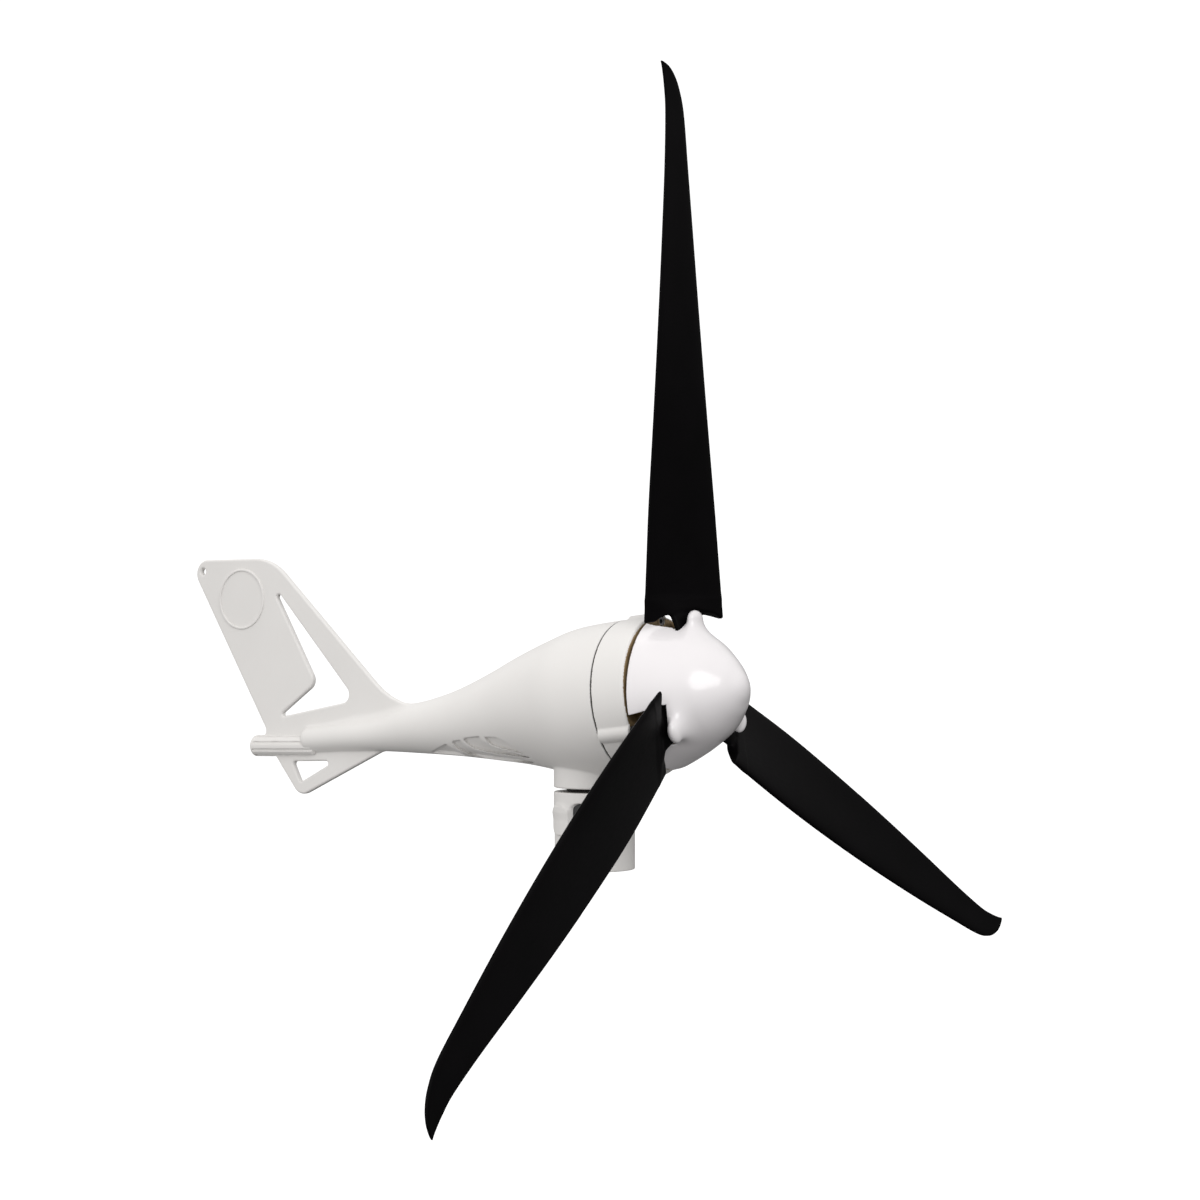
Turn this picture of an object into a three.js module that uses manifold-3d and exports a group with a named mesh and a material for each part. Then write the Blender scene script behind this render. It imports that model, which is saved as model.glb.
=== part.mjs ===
// Small three-blade wind turbine for a 1.5 in pole: a cast body with a tail boom and fin swings on a pole
// collar, and a direct-drive alternator in the body is turned by a 1.17 m rotor.
//
// Frame: millimetres, +Z up, nose towards -Y, tail towards +Y. The origin is the centre of the collar's
// bottom rim, on the yaw axis.
// Drive frame (for everything on the tilted rotor axis): +Y runs along the rotor axis towards the nose,
// +Z is square to it and up, +X is the row's -X. "s" is a distance along the rotor axis from the yaw axis.

import * as THREE from "three";
import { mergeVertices } from "three/addons/utils/BufferGeometryUtils.js";
import Module from "manifold-3d";

const wasm = await Module();
wasm.setup();

// ---------------------------------------------------------------- driving dimensions

const GAP = 0.3; // clearance between pieces that touch
const AXIS_HEIGHT = 158; // rotor axis above the collar's bottom rim, on the yaw axis
const AXIS_TILT = THREE.MathUtils.degToRad(6); // nose-up tilt of the rotor axis
const BLADE_COUNT = 3;
const BLADE_STEP = (2 * Math.PI) / BLADE_COUNT;

const POLE_RADIUS = 24.15; // 1.5 in schedule 40 pipe
const COLLAR_RADIUS = 39.2;
const COLLAR_TOP = 73.9;
const NECK_BOTTOM = 77.6;
const SOCKET_DEPTH = 55;

const BODY_RADIUS = 75;
const BODY_FRONT = 46.4; // s of the casting's front face
const WALL = 4.5;
const FACE_BACK = 47.8; // s of the face plate's back edge
const FACE_FRONT = 82;
const NOSE_RIM = 84;
const NOSE_RIM_RADIUS = 71.8;
const NOSE_TIP = 169.6;
const NOSE_WALL = 2.6;

const ROTOR_RADIUS = 584;
const BLADE_ROOT = 70;
const BLADE_MEAN_S = 111; // s of the mid-chord line where it passes the root radius
const ROOT_RADIUS = 75;
const CONING = 0.0945; // forward lean of the blades, per unit of radius
const ROOT_PITCH = THREE.MathUtils.degToRad(19);

const STATOR_RADIUS = 61;
const STATOR_BORE = 47;
const STACK = [36, 70]; // s of the lamination stack's two faces
const MAGNET_COUNT = 6;
const SLOT_COUNT = 12;

const FIN_THICKNESS = 7;
const TAIL_DOME = 9; // how far the boom's end bulges past its last station

// Body casting stations: s, height of the section's centre above the rotor axis, radius.
const BODY_STATIONS = [
  [BODY_FRONT, 0, BODY_RADIUS],
  [20, 0, 74.4],
  [-5, 0, 72.6],
  [-40, 1, 63.5],
  [-75, 0.3, 54],
  [-110, -2.5, 44.8],
  [-160, -5.5, 33.4],
  [-215, -6.5, 25],
  [-265, -8, 17.6],
  [-320, -6.5, 14.9],
  [-362, -5.5, 14],
];

// Blade planform: radius, trailing edge and leading edge measured across the blade.
const BLADE_STATIONS = [
  [70, -47, 41],
  [120, -47.4, 39.8],
  [180, -47, 37.6],
  [260, -43.2, 32.8],
  [340, -38.4, 26.6],
  [420, -32.8, 19.2],
  [490, -27.8, 11.6],
  [540, -26, 5.6],
  [562, -28, -1.5],
  [574, -30.2, -9.5],
  [581, -32, -19],
  [ROTOR_RADIUS, -33.4, -31],
];

// ---------------------------------------------------------------- materials

const finish = (color, roughness, metalness = 0) =>
  new THREE.MeshStandardMaterial({ color, roughness, metalness });
const castingPaint = () => finish(0xdedbd6, 0.45);
const nosePlastic = () => finish(0xf0eff2, 0.15);
const bladeComposite = () => finish(0x131416, 0.5);
const steel = () => finish(0x9b9da0, 0.35, 1);
const bearingSteel = () => finish(0xb9bbbe, 0.2, 1);
const lamination = () => finish(0x5d6066, 0.5, 0.8);
const magnetPlate = () => finish(0xa7a8aa, 0.3, 0.9);
const copper = () => finish(0xa85a2f, 0.4, 0.9);
const rubber = () => finish(0x22211f, 0.85);
const boardGreen = () => finish(0x2b5a3a, 0.6);
const blackPlastic = () => finish(0x1c1c1e, 0.6);
const carbon = () => finish(0x2a2a2c, 0.7);

// ---------------------------------------------------------------- solids

// A closed three.js geometry as a manifold solid with its faces pointing out.
function solid(geometry) {
  const bare = geometry.index ? geometry.toNonIndexed() : geometry.clone();
  for (const name of Object.keys(bare.attributes)) {
    if (name !== "position") bare.deleteAttribute(name);
  }
  const merged = mergeVertices(bare, 1e-4);
  const corners = merged.index.array;
  const kept = [];
  for (let i = 0; i < corners.length; i += 3) {
    const [a, b, c] = corners.slice(i, i + 3);
    if (a !== b && b !== c && c !== a) kept.push(a, b, c);
  }
  const vertProperties = new Float32Array(merged.attributes.position.array);
  const build = (order) =>
    new wasm.Manifold(
      new wasm.Mesh({ numProp: 3, vertProperties, triVerts: new Uint32Array(order) })
    );
  const made = build(kept);
  return made.volume() > 0 ? made : build(kept.reverse());
}

function geometryOf(made) {
  const { vertProperties, triVerts } = made.getMesh();
  const geometry = new THREE.BufferGeometry();
  geometry.setAttribute("position", new THREE.BufferAttribute(vertProperties, 3));
  geometry.setIndex(new THREE.BufferAttribute(triVerts, 1));
  geometry.computeVertexNormals();
  return geometry;
}

const join = (solids) => solids.reduce((all, one) => all.add(one));
const cut = (from, tools) => tools.reduce((rest, tool) => rest.subtract(tool), from);

function piece(name, shape, material, parent) {
  const geometry = shape.isBufferGeometry ? geometryOf(solid(shape)) : geometryOf(shape);
  const mesh = new THREE.Mesh(geometry, material());
  mesh.name = name;
  parent.add(mesh);
  return mesh;
}

// A turned shape about Y. The profile is a list of [radius, height] that starts and ends on the axis or
// is closed here.
function turned(profile, segments = 24) {
  const points = profile.map(([r, y]) => new THREE.Vector2(r, y));
  const onAxis = points[0].x === 0 && points[points.length - 1].x === 0;
  if (!onAxis) points.push(points[0].clone());
  return new THREE.LatheGeometry(points, segments);
}

const ring = (inner, outer, low, high, segments) =>
  turned([[inner, low], [outer, low], [outer, high], [inner, high]], segments);
const rod = (radius, low, high, segments = 12) =>
  turned([[0, low], [radius, low], [radius, high], [0, high]], segments);

// Turns a shape made about Y so that it stands on the yaw axis.
const upright = (geometry) => geometry.rotateX(Math.PI / 2);

// Points of a closed outline without the repeats where an arc meets a line.
const distinct = (points) =>
  points.filter((p, i) => p.distanceTo(points[(i + 1) % points.length]) > 1e-3);

function extrude(shape, depth, curveSegments = 4) {
  const points = shape.extractPoints(curveSegments);
  const edge = distinct(points.shape);
  const clean = new THREE.Shape(THREE.ShapeUtils.isClockWise(edge) ? edge.reverse() : edge);
  clean.holes = points.holes.map((hole) => new THREE.Path(distinct(hole)));
  return new THREE.ExtrudeGeometry(clean, { depth, bevelEnabled: false });
}

// A closed outline from corners [x, y, radius]: each corner is rounded by an arc tangent to its sides.
function rounded(corners, Kind = THREE.Shape) {
  const outline = new Kind();
  corners.forEach(([x, y, radius = 0], i) => {
    const here = new THREE.Vector2(x, y);
    const before = corners[(i + corners.length - 1) % corners.length];
    const after = corners[(i + 1) % corners.length];
    const back = new THREE.Vector2(before[0] - x, before[1] - y).normalize();
    const on = new THREE.Vector2(after[0] - x, after[1] - y).normalize();
    const half = Math.acos(THREE.MathUtils.clamp(back.dot(on), -1, 1)) / 2;
    const reach = radius / Math.tan(half);
    const start = here.clone().addScaledVector(back, reach);
    if (i === 0) outline.moveTo(start.x, start.y);
    else outline.lineTo(start.x, start.y);
    if (radius === 0) return;
    const middle = back.clone().add(on).normalize();
    const centre = here.clone().addScaledVector(middle, radius / Math.sin(half));
    const end = here.clone().addScaledVector(on, reach);
    const from = start.sub(centre).angle();
    const to = end.sub(centre).angle();
    outline.absarc(centre.x, centre.y, radius, from, to, back.cross(on) > 0);
  });
  outline.closePath();
  return outline;
}

// A tube of given sections: place(angle, step, reach) gives the point of section "step" at "angle", where
// reach is 1 on the skin and 0 at the section's centre.
function lofted(steps, sides, place) {
  const geometry = new THREE.CylinderGeometry(1, 1, 1, sides, steps);
  const position = geometry.attributes.position;
  for (let i = 0; i < position.count; i += 1) {
    const [x, y, z] = [position.getX(i), position.getY(i), position.getZ(i)];
    const step = Math.round((y + 0.5) * steps);
    const point = place(Math.atan2(z, x), step, Math.min(1, Math.hypot(x, z)));
    position.setXYZ(i, point.x, point.y, point.z);
  }
  return geometry;
}

// ---------------------------------------------------------------- frames

const turbine = new THREE.Group();

const drive = new THREE.Group();
drive.position.set(0, 0, AXIS_HEIGHT);
drive.rotation.set(-AXIS_TILT, 0, Math.PI);
drive.updateMatrix();
turbine.add(drive);

const toRow = (geometry) => geometry.applyMatrix4(drive.matrix);
const aroundAxis = (geometry, angle) => geometry.rotateY(-angle);

// ---------------------------------------------------------------- bearings

// A deep-groove ball bearing about Y: inner ring, outer ring, and its balls in a cage.
function bearing(name, { bore, inner, outer, rim, low, high }, parent, turn = (g) => g) {
  const middle = (inner + outer) / 2;
  const ball = (outer - inner) / 2 - 0.4;
  const centre = (low + high) / 2;
  const balls = [];
  const count = 7;
  for (let i = 0; i < count; i += 1) {
    const sphere = new THREE.OctahedronGeometry(ball, 0).translate(middle, centre, 0);
    balls.push(solid(turn(aroundAxis(sphere, (i * 2 * Math.PI) / count))));
  }
  const cageHalf = ball * 0.45;
  const cage = ring(middle - 1, middle + 1, centre - cageHalf, centre + cageHalf, 14);
  piece(`${name}_inner_ring`, turn(ring(bore, inner, low, high)), bearingSteel, parent);
  piece(`${name}_outer_ring`, turn(ring(outer, rim, low, high)), bearingSteel, parent);
  piece(`${name}_ball_cage`, join([solid(turn(cage)), ...balls]), bearingSteel, parent);
}

const FRONT_BEARING = { bore: 10, inner: 13.2, outer: 20, rim: 23.5, low: 78.7, high: 92.7 };
const REAR_BEARING = { bore: 8.5, inner: 11.2, outer: 16.6, rim: 20, low: 22.3, high: 34 };
const LOWER_YAW_BEARING = { bore: 15, inner: 19.5, outer: 26.5, rim: 31, low: 80.5, high: 96.5 };
const UPPER_YAW_BEARING = { bore: 10, inner: 13, outer: 18, rim: 21, low: 116, high: 128 };

// ---------------------------------------------------------------- body casting

const bodyCurve = new THREE.CatmullRomCurve3(
  BODY_STATIONS.map(([s, centre, radius]) => new THREE.Vector3(s, centre, radius))
);

// The body's skin between two distances along its station curve, pulled in by "inset".
function bodyShell(inset, from, to, steps, segments) {
  const stations = [];
  for (let i = 0; i <= steps; i += 1) {
    stations.push(bodyCurve.getPoint(from + ((to - from) * i) / steps));
  }
  const profile = stations.map((p) => [Math.max(p.z - inset, 1), p.x]).reverse();
  const first = profile[0];
  const last = profile[profile.length - 1];
  const domed = [[0, first[1] - TAIL_DOME], [first[0] * 0.72, first[1] - TAIL_DOME * 0.72]];
  const dome = inset === 0 && to === 1 ? domed : [[0, first[1]]];
  const geometry = turned([...dome, ...profile, [0, last[1]]], segments);
  const heights = [...stations].reverse();
  const position = geometry.attributes.position;
  for (let i = 0; i < position.count; i += 1) {
    position.setZ(i, position.getZ(i) + centreAt(heights, position.getY(i)));
  }
  return toRow(geometry);
}

// Height of the section centre at s, between stations sorted by s.
function centreAt(stations, s) {
  const next = stations.findIndex((p) => p.x >= s);
  if (next <= 0) return next === 0 ? stations[0].y : stations[stations.length - 1].y;
  const [a, b] = [stations[next - 1], stations[next]];
  return a.y + ((b.y - a.y) * (s - a.x)) / (b.x - a.x);
}

// The tail plane stands in the row's YZ plane.
function tailPlate(shape, thickness) {
  const toYZ = new THREE.Matrix4().makeBasis(
    new THREE.Vector3(0, 1, 0),
    new THREE.Vector3(0, 0, 1),
    new THREE.Vector3(1, 0, 0)
  );
  return extrude(shape, thickness).translate(0, 0, -thickness / 2).applyMatrix4(toYZ);
}

const FIN_OUTLINE = [
  [205, 125],
  [205, 152],
  [247, 152.5, 85],
  [414.5, 305.6, 60],
  [535.5, 305.6, 15],
  [420, 122.5, 6],
  [428, 112],
  [428, 100],
  [408, 97],
  [373, 54, 15],
  [258, 106.5],
];
const BIG_WINDOW = [
  [420, 286, 2.9],
  [351.5, 173.5, 11],
  [405.5, 136.5, 2.2],
  [297.4, 156.6, 9],
];
const SMALL_WINDOW = [
  [325.5, 93, 2.5],
  [384, 91, 3],
  [372.5, 69.5, 3.5],
];
const LANYARD_HOLE = { y: 513.5, z: 293.1, radius: 3.5 };
const FIN_RING = { y: 456, z: 262.5, inner: 29.8, outer: 32.4, proud: 1.2 };
const STUB = { radius: 11.4, from: 350, to: 438, z: 108.4, drop: 0.025 };

function fin() {
  const shape = rounded(FIN_OUTLINE);
  shape.holes.push(rounded(BIG_WINDOW, THREE.Path), rounded(SMALL_WINDOW, THREE.Path));
  const lanyard = new THREE.Path();
  lanyard.absarc(LANYARD_HOLE.y, LANYARD_HOLE.z, LANYARD_HOLE.radius, 0, 2 * Math.PI);
  shape.holes.push(lanyard);
  const ringShape = new THREE.Shape();
  ringShape.absarc(FIN_RING.y, FIN_RING.z, FIN_RING.outer, 0, 2 * Math.PI);
  const ringHole = new THREE.Path();
  ringHole.absarc(FIN_RING.y, FIN_RING.z, FIN_RING.inner, 0, 2 * Math.PI, true);
  ringShape.holes.push(ringHole);
  return join([
    solid(tailPlate(shape, FIN_THICKNESS)),
    solid(tailPlate(ringShape, FIN_THICKNESS + 2 * FIN_RING.proud)),
  ]);
}

function tailStub() {
  const { radius, from, to, z, drop } = STUB;
  const profile = [[0, from], [radius, from], [radius, to - 3], [radius - 3, to], [0, to]];
  return solid(turned(profile, 20).rotateX(-Math.atan(drop)).translate(0, 0, z + drop * from));
}

const SCREW_CIRCLE = 70;
const SCREW_ANGLES = [0, 1, 2].map((i) => THREE.MathUtils.degToRad(3 + 120 * i));
const BULKHEAD = [20, 26];
const TOWER = { radius: 26, top: 134 };
const BOARD = { x: 28, from: 42, to: 112, z: 150, thickness: 1.6 };
const BOARD_POSTS = [
  [-22, 50],
  [22, 50],
  [-22, 104],
  [22, 104],
];

function bodyCasting() {
  const skin = solid(bodyShell(0, 0, 1, 15, 26));
  const neck = solid(upright(rod(COLLAR_RADIUS, NECK_BOTTOM, 125, 26)));
  const rearCavity = solid(bodyShell(WALL, 0.1, 0.56, 7, 20));
  const frontBay = solid(
    toRow(
      turned([
        [0, BULKHEAD[1]],
        [60, BULKHEAD[1]],
        [60, STACK[0] - GAP - 3],
        [STATOR_RADIUS - 3, STACK[0] - GAP - 3],
        [STATOR_RADIUS - 3, STACK[0] - GAP],
        [STATOR_RADIUS + GAP, STACK[0] - GAP],
        [STATOR_RADIUS + GAP, BODY_FRONT + 1],
        [0, BODY_FRONT + 1],
      ], 32)
    )
  );
  const bearingBoss = solid(toRow(rod(24.5, BULKHEAD[0] - 1, REAR_BEARING.high + GAP, 20)));
  const tower = solid(upright(rod(TOWER.radius, 90, TOWER.top, 20)));
  const lowerHousing = solid(upright(rod(COLLAR_RADIUS - 1, 85, 101, 20)));
  const brushPad = solid(new THREE.BoxGeometry(24, 24, 40).translate(0, 27, TOWER.top - 20));
  const posts = BOARD_POSTS.map(([x, y]) =>
    solid(upright(rod(4, 100, BOARD.z - GAP, 8)).translate(x, y, 0))
  );
  const outside = join([skin, neck]);
  const hollow = cut(rearCavity, [tower, lowerHousing, brushPad, ...posts]);
  const shell = cut(outside, [hollow, cut(frontBay, [bearingBoss])]);

  const bearingPocket = solid(
    toRow(rod(REAR_BEARING.rim + GAP, REAR_BEARING.low - GAP, REAR_BEARING.high + 2, 24))
  );
  const yawBore = solid(
    upright(
      turned(
        [
          [0, NECK_BOTTOM - 1],
          [31.3, NECK_BOTTOM - 1],
          [31.3, 78.4],
          [33, 78.4],
          [33, 80.4],
          [31.3, 80.4],
          [31.3, LOWER_YAW_BEARING.high + GAP],
          [17, LOWER_YAW_BEARING.high + GAP],
          [17, UPPER_YAW_BEARING.low - GAP],
          [UPPER_YAW_BEARING.rim + GAP, UPPER_YAW_BEARING.low - GAP],
          [UPPER_YAW_BEARING.rim + GAP, TOWER.top + 1],
          [0, TOWER.top + 1],
        ],
        24
      )
    )
  );
  const wireHoles = [-1, 1].map((side) =>
    solid(toRow(rod(6, 10, 30, 8).translate(38 * side, 0, 0)))
  );
  const screwHoles = SCREW_ANGLES.map((angle) =>
    solid(toRow(aroundAxis(rod(2.6, 29.5, 60, 8).translate(0, 0, SCREW_CIRCLE), angle)))
  );
  const bored = cut(shell, [bearingPocket, yawBore, ...wireHoles, ...screwHoles]);
  return join([bored, fin(), tailStub()]);
}

// ---------------------------------------------------------------- head

function facePlate() {
  const plate = solid(
    turned(
      [
        [STATOR_RADIUS + GAP, FACE_BACK],
        [BODY_RADIUS, FACE_BACK],
        [BODY_RADIUS - 0.3, FACE_FRONT - 2],
        [BODY_RADIUS - 2.2, FACE_FRONT],
        [28, FACE_FRONT],
        [27, 96],
        [14.5, 96],
        [14.5, 93],
        [FRONT_BEARING.rim + GAP, 93],
        [FRONT_BEARING.rim + GAP, 78],
        [STATOR_RADIUS - 3, 78],
        [STATOR_RADIUS - 3, STACK[1] + GAP],
        [STATOR_RADIUS + GAP, STACK[1] + GAP],
      ],
      32
    )
  );
  const bosses = [];
  const holes = [];
  for (const angle of SCREW_ANGLES) {
    const place = (shape) => solid(aroundAxis(shape.translate(0, 0, SCREW_CIRCLE), angle));
    bosses.push(place(rod(8.5, FACE_BACK, FACE_FRONT, 20)));
    holes.push(place(rod(2.6, FACE_BACK - 1, FACE_FRONT + 1, 12)));
    holes.push(place(rod(4.9, FACE_FRONT - 5.5, FACE_FRONT + 1, 16)));
  }
  const bore = solid(rod(STATOR_RADIUS + GAP, FACE_BACK - 1, STACK[1], 32));
  return cut(join([plate, ...bosses]), [bore, ...holes]);
}

function gasket() {
  const band = solid(ring(STATOR_RADIUS + 2, BODY_RADIUS - 0.6, BODY_FRONT + GAP, FACE_BACK - GAP, 32));
  const holes = SCREW_ANGLES.map((angle) =>
    solid(aroundAxis(rod(2.8, BODY_FRONT - 1, FACE_BACK + 1, 12).translate(0, 0, SCREW_CIRCLE), angle))
  );
  return cut(band, holes);
}

// A socket-head screw about Y, head up: the head's underside is at "seat".
function socketScrew(shank, length, head, headHeight, seat) {
  const body = solid(
    turned([
      [0, seat - length],
      [shank, seat - length],
      [shank, seat],
      [head, seat],
      [head, seat + headHeight],
      [0, seat + headHeight],
    ], 16)
  );
  const socket = solid(rod(head * 0.55, seat + headHeight * 0.4, seat + headHeight + 1, 6));
  return cut(body, [socket]);
}

// The stack's slots open to the bore, and the winding fills them.
function slotTools(width, inner, outer, low, high) {
  const tools = [];
  for (let i = 0; i < SLOT_COUNT; i += 1) {
    const bar = new THREE.BoxGeometry(width, high - low, outer - inner);
    bar.translate(0, (low + high) / 2, (outer + inner) / 2);
    tools.push(solid(aroundAxis(bar, (i * 2 * Math.PI) / SLOT_COUNT)));
  }
  return tools;
}

const statorCore = () =>
  cut(
    solid(ring(STATOR_BORE, STATOR_RADIUS, STACK[0], STACK[1], 32)),
    slotTools(7, STATOR_BORE - 3, 57.4, STACK[0] - 1, STACK[1] + 1)
  );

function statorWinding() {
  const turns = [
    ring(49.5, 57.2, 27, STACK[0] - GAP),
    ring(49.5, 57.2, STACK[1] + GAP, 77.4),
  ];
  return join([...turns.map(solid), ...slotTools(6.4, 50, 57, 30, 75)]);
}

// ---------------------------------------------------------------- rotor

function rotorShaft() {
  return turned(
    [
      [0, 23],
      [REAR_BEARING.bore - GAP, 23],
      [REAR_BEARING.bore - GAP, REAR_BEARING.high + GAP],
      [12, REAR_BEARING.high + GAP],
      [12, FRONT_BEARING.low - GAP],
      [FRONT_BEARING.bore - GAP, FRONT_BEARING.low - GAP],
      [FRONT_BEARING.bore - GAP, 96.2],
      [8, 96.2],
      [8, 106.7],
      [7, 106.7],
      [7, 121],
      [0, 122],
    ],
    16
  );
}

const rotorCore = () => ring(12 + GAP, 40, STACK[0] + 1, STACK[1] - 1, 36);

function magnet(index) {
  const pitch = (2 * Math.PI) / MAGNET_COUNT;
  const span = pitch - 0.14;
  const shape = new THREE.Shape();
  shape.absarc(0, 0, 45.5, -span / 2, span / 2);
  shape.absarc(0, 0, 40.6, span / 2, -span / 2, true);
  shape.closePath();
  const length = STACK[1] - STACK[0] - 2;
  const bar = extrude(shape, length, 8).rotateX(Math.PI / 2).translate(0, STACK[1] - 1, 0);
  return aroundAxis(bar, index * pitch);
}

const FOOT = { low: 107, high: 115, inner: 30, outer: 52.6, half: 18 };
const BOLT_RADIUS = 45;
const BOLT_OFFSET = 9;
const PLATE = [100.7, FOOT.low - GAP];

function eachBladeBolt(use) {
  for (let blade = 0; blade < BLADE_COUNT; blade += 1) {
    for (const side of [-1, 1]) use(blade, side);
  }
}

function hubPlate() {
  const parts = [
    solid(rod(40, PLATE[0], PLATE[1], 24)),
    solid(rod(18, 96.5, PLATE[0] + 1, 24)),
  ];
  for (let blade = 0; blade < BLADE_COUNT; blade += 1) {
    const arm = rounded([[-18, 0], [18, 0], [18, 60, 8], [-18, 60, 8]]);
    const bar = extrude(arm, PLATE[1] - PLATE[0], 4).rotateX(Math.PI / 2).translate(0, PLATE[1], 0);
    parts.push(solid(aroundAxis(bar, blade * BLADE_STEP)));
  }
  const holes = [solid(rod(8 + GAP, 90, 120, 24))];
  eachBladeBolt((blade, side) => {
    const hole = rod(2.5 + GAP, 90, 120, 12).translate(BOLT_OFFSET * side, 0, BOLT_RADIUS);
    holes.push(solid(aroundAxis(hole, blade * BLADE_STEP)));
  });
  return cut(join(parts), holes);
}

function hexNut(bore, across, low, high) {
  const nut = solid(rod(across / Math.sqrt(3), low, high, 6));
  return cut(nut, [solid(rod(bore, low - 1, high + 1, 16))]);
}

const trailing = new THREE.SplineCurve(BLADE_STATIONS.map(([r, edge]) => new THREE.Vector2(r, edge)));
const leading = new THREE.SplineCurve(BLADE_STATIONS.map(([r, , edge]) => new THREE.Vector2(r, edge)));
const meanS = (r) => BLADE_MEAN_S + CONING * (r - ROOT_RADIUS);
const pitchAt = (r) => ROOT_PITCH * ((ROTOR_RADIUS - r) / (ROTOR_RADIUS - ROOT_RADIUS)) ** 2;

// A blade point from across-blade distance t, s and radius r, in the drive frame with the blade upright.
const bladePoint = (t, s, r) => new THREE.Vector3(-t, s, r);

function bladeSkin() {
  const steps = BLADE_STATIONS.length - 1;
  return lofted(steps, 12, (angle, step, reach) => {
    const along = step / steps;
    const r = trailing.getPoint(along).x;
    const [aft, fore] = [trailing.getPoint(along).y, leading.getPoint(along).y];
    const chord = fore - aft;
    const x = Math.cos(angle) * reach;
    const thick = 0.055 * chord + 0.5;
    const camber = 0.04 * chord * (1 - x * x);
    const t = (fore + aft) / 2 + (chord / 2) * x;
    const out = Math.sin(angle) * reach * thick * (1 + 0.35 * x) - camber;
    return bladePoint(t, meanS(r) + (t - (fore + aft) / 2) * Math.tan(pitchAt(r)) + out, r);
  });
}

// The neck twists from the flat foot to the blade's pitch. "grow" makes the clearance shape for it.
function bladeNeck(grow = 0) {
  const stations = [
    [52, 18, 4, 0],
    [60, 18, 4, 0],
    [68, 18.5, 4.2, 0.12],
    [76, 20, 4.4, 0.24],
    [86, 22, 4, 0.31],
    [98, 22, 3, 0.31],
  ];
  const square = (v) => Math.sign(v) * Math.abs(v) ** 0.6;
  return lofted(stations.length - 1, 12, (angle, step, reach) => {
    const [r, half, thick, twist] = stations[step];
    const t = (half + grow) * square(Math.cos(angle)) * reach;
    const out = (thick + grow) * square(Math.sin(angle)) * reach;
    const s = BLADE_MEAN_S + CONING * Math.max(0, r - ROOT_RADIUS) - 0.12 * step;
    return bladePoint(t, s + t * Math.tan(twist) + out, r);
  });
}

const ROOT_EDGE = [
  [-60, 50],
  [60, 50],
  [60, 67.2],
  [38, 67.6, 2],
  [27, 73, 8],
  [16, 75],
  [8, 78],
  [-14, 78],
  [-26, 73, 8],
  [-35, 66.8, 6],
  [-60, 64.4],
];

function blade() {
  const prism = extrude(rounded(ROOT_EDGE), 80, 3).rotateX(Math.PI / 2).translate(0, 150, 0);
  const rootCut = solid(prism.scale(-1, 1, 1));
  const skin = cut(solid(bladeSkin()), [rootCut]);
  const foot = new THREE.BoxGeometry(2 * FOOT.half, FOOT.high - FOOT.low, FOOT.outer - FOOT.inner);
  foot.translate(0, (FOOT.high + FOOT.low) / 2, (FOOT.outer + FOOT.inner) / 2);
  const holes = [-1, 1].map((side) =>
    solid(rod(2.5 + GAP, 90, 130, 12).translate(BOLT_OFFSET * side, 0, BOLT_RADIUS))
  );
  return cut(join([skin, solid(bladeNeck()), solid(foot)]), holes);
}

const NOSE_PROFILE = [
  [0, NOSE_TIP],
  [8, 168],
  [16, 163.8],
  [28, 155.5],
  [45, 138.8],
  [58.6, 117],
  [66.8, 97.5],
  [NOSE_RIM_RADIUS, NOSE_RIM],
];

function noseCone() {
  const curve = new THREE.SplineCurve(NOSE_PROFILE.map(([r, s]) => new THREE.Vector2(r, s)));
  const outer = curve.getPoints(8).map((p) => [Math.max(0, p.x), p.y]);
  const inner = outer.map(([r, s], i) => {
    const side = curve.getTangent(i / 8);
    return [Math.max(0, r + side.y * NOSE_WALL), s - side.x * NOSE_WALL];
  });
  inner[0] = [0, NOSE_TIP - NOSE_WALL];
  inner[inner.length - 1][1] = NOSE_RIM;
  const full = solid(turned([...outer, [0, NOSE_RIM]], 27));
  const shell = solid(turned([...outer, ...inner.reverse()], 27));
  const additions = [];
  const cuts = [];
  for (let blade = 0; blade < BLADE_COUNT; blade += 1) {
    const angle = blade * BLADE_STEP;
    additions.push(solid(aroundAxis(noseHorn(), angle)));
    const post = rod(3.5, PLATE[1] + GAP, 158, 6).translate(0, 0, 34);
    additions.push(solid(aroundAxis(post, angle + BLADE_STEP / 2)).intersect(full));
    cuts.push(solid(aroundAxis(bladeNeck(0.6), angle)));
    cuts.push(solid(aroundAxis(noseNotch(), angle)));
  }
  return cut(join([shell, ...additions]), cuts);
}

const HORN = { t: -3.5, s: 123 };

// The rounded finger that covers the front of a blade neck.
function noseHorn() {
  const stations = [
    [54.5, 14.5, 8],
    [61, 11.5, 6.4],
    [68, 10.3, 5.9],
    [71.5, 9, 5.1],
    [74.2, 5.6, 3.3],
    [75.3, 0.8, 0.5],
  ];
  return lofted(stations.length - 1, 10, (angle, step, reach) => {
    const [r, half, thick] = stations[step];
    const t = HORN.t + half * Math.cos(angle) * reach;
    return bladePoint(t, HORN.s + thick * Math.sin(angle) * reach, r);
  });
}

// The opening behind each neck, from the rim up to the neck.
function noseNotch() {
  const outline = rounded([
    [-28, 78],
    [20.5, 78],
    [19.5, 117],
    [-8, 116],
    [-20, 106, 4],
    [-26, 92, 6],
  ]);
  return extrude(outline, 60, 3).scale(-1, 1, 1).translate(0, 0, 45);
}

// ---------------------------------------------------------------- pole mount

const CLAMP_ANGLE = THREE.MathUtils.degToRad(227); // direction of the clamp slit, about +Z from +X
const CLAMP_RADIUS = 31.5;
const CLAMP_HEIGHTS = [46, 58];
const SLIT = 2.5;

// Turns a shape made for a clamp slit that faces +X (bolts along Y) to the clamp's direction.
const toClamp = (geometry) => geometry.rotateZ(CLAMP_ANGLE);

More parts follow.
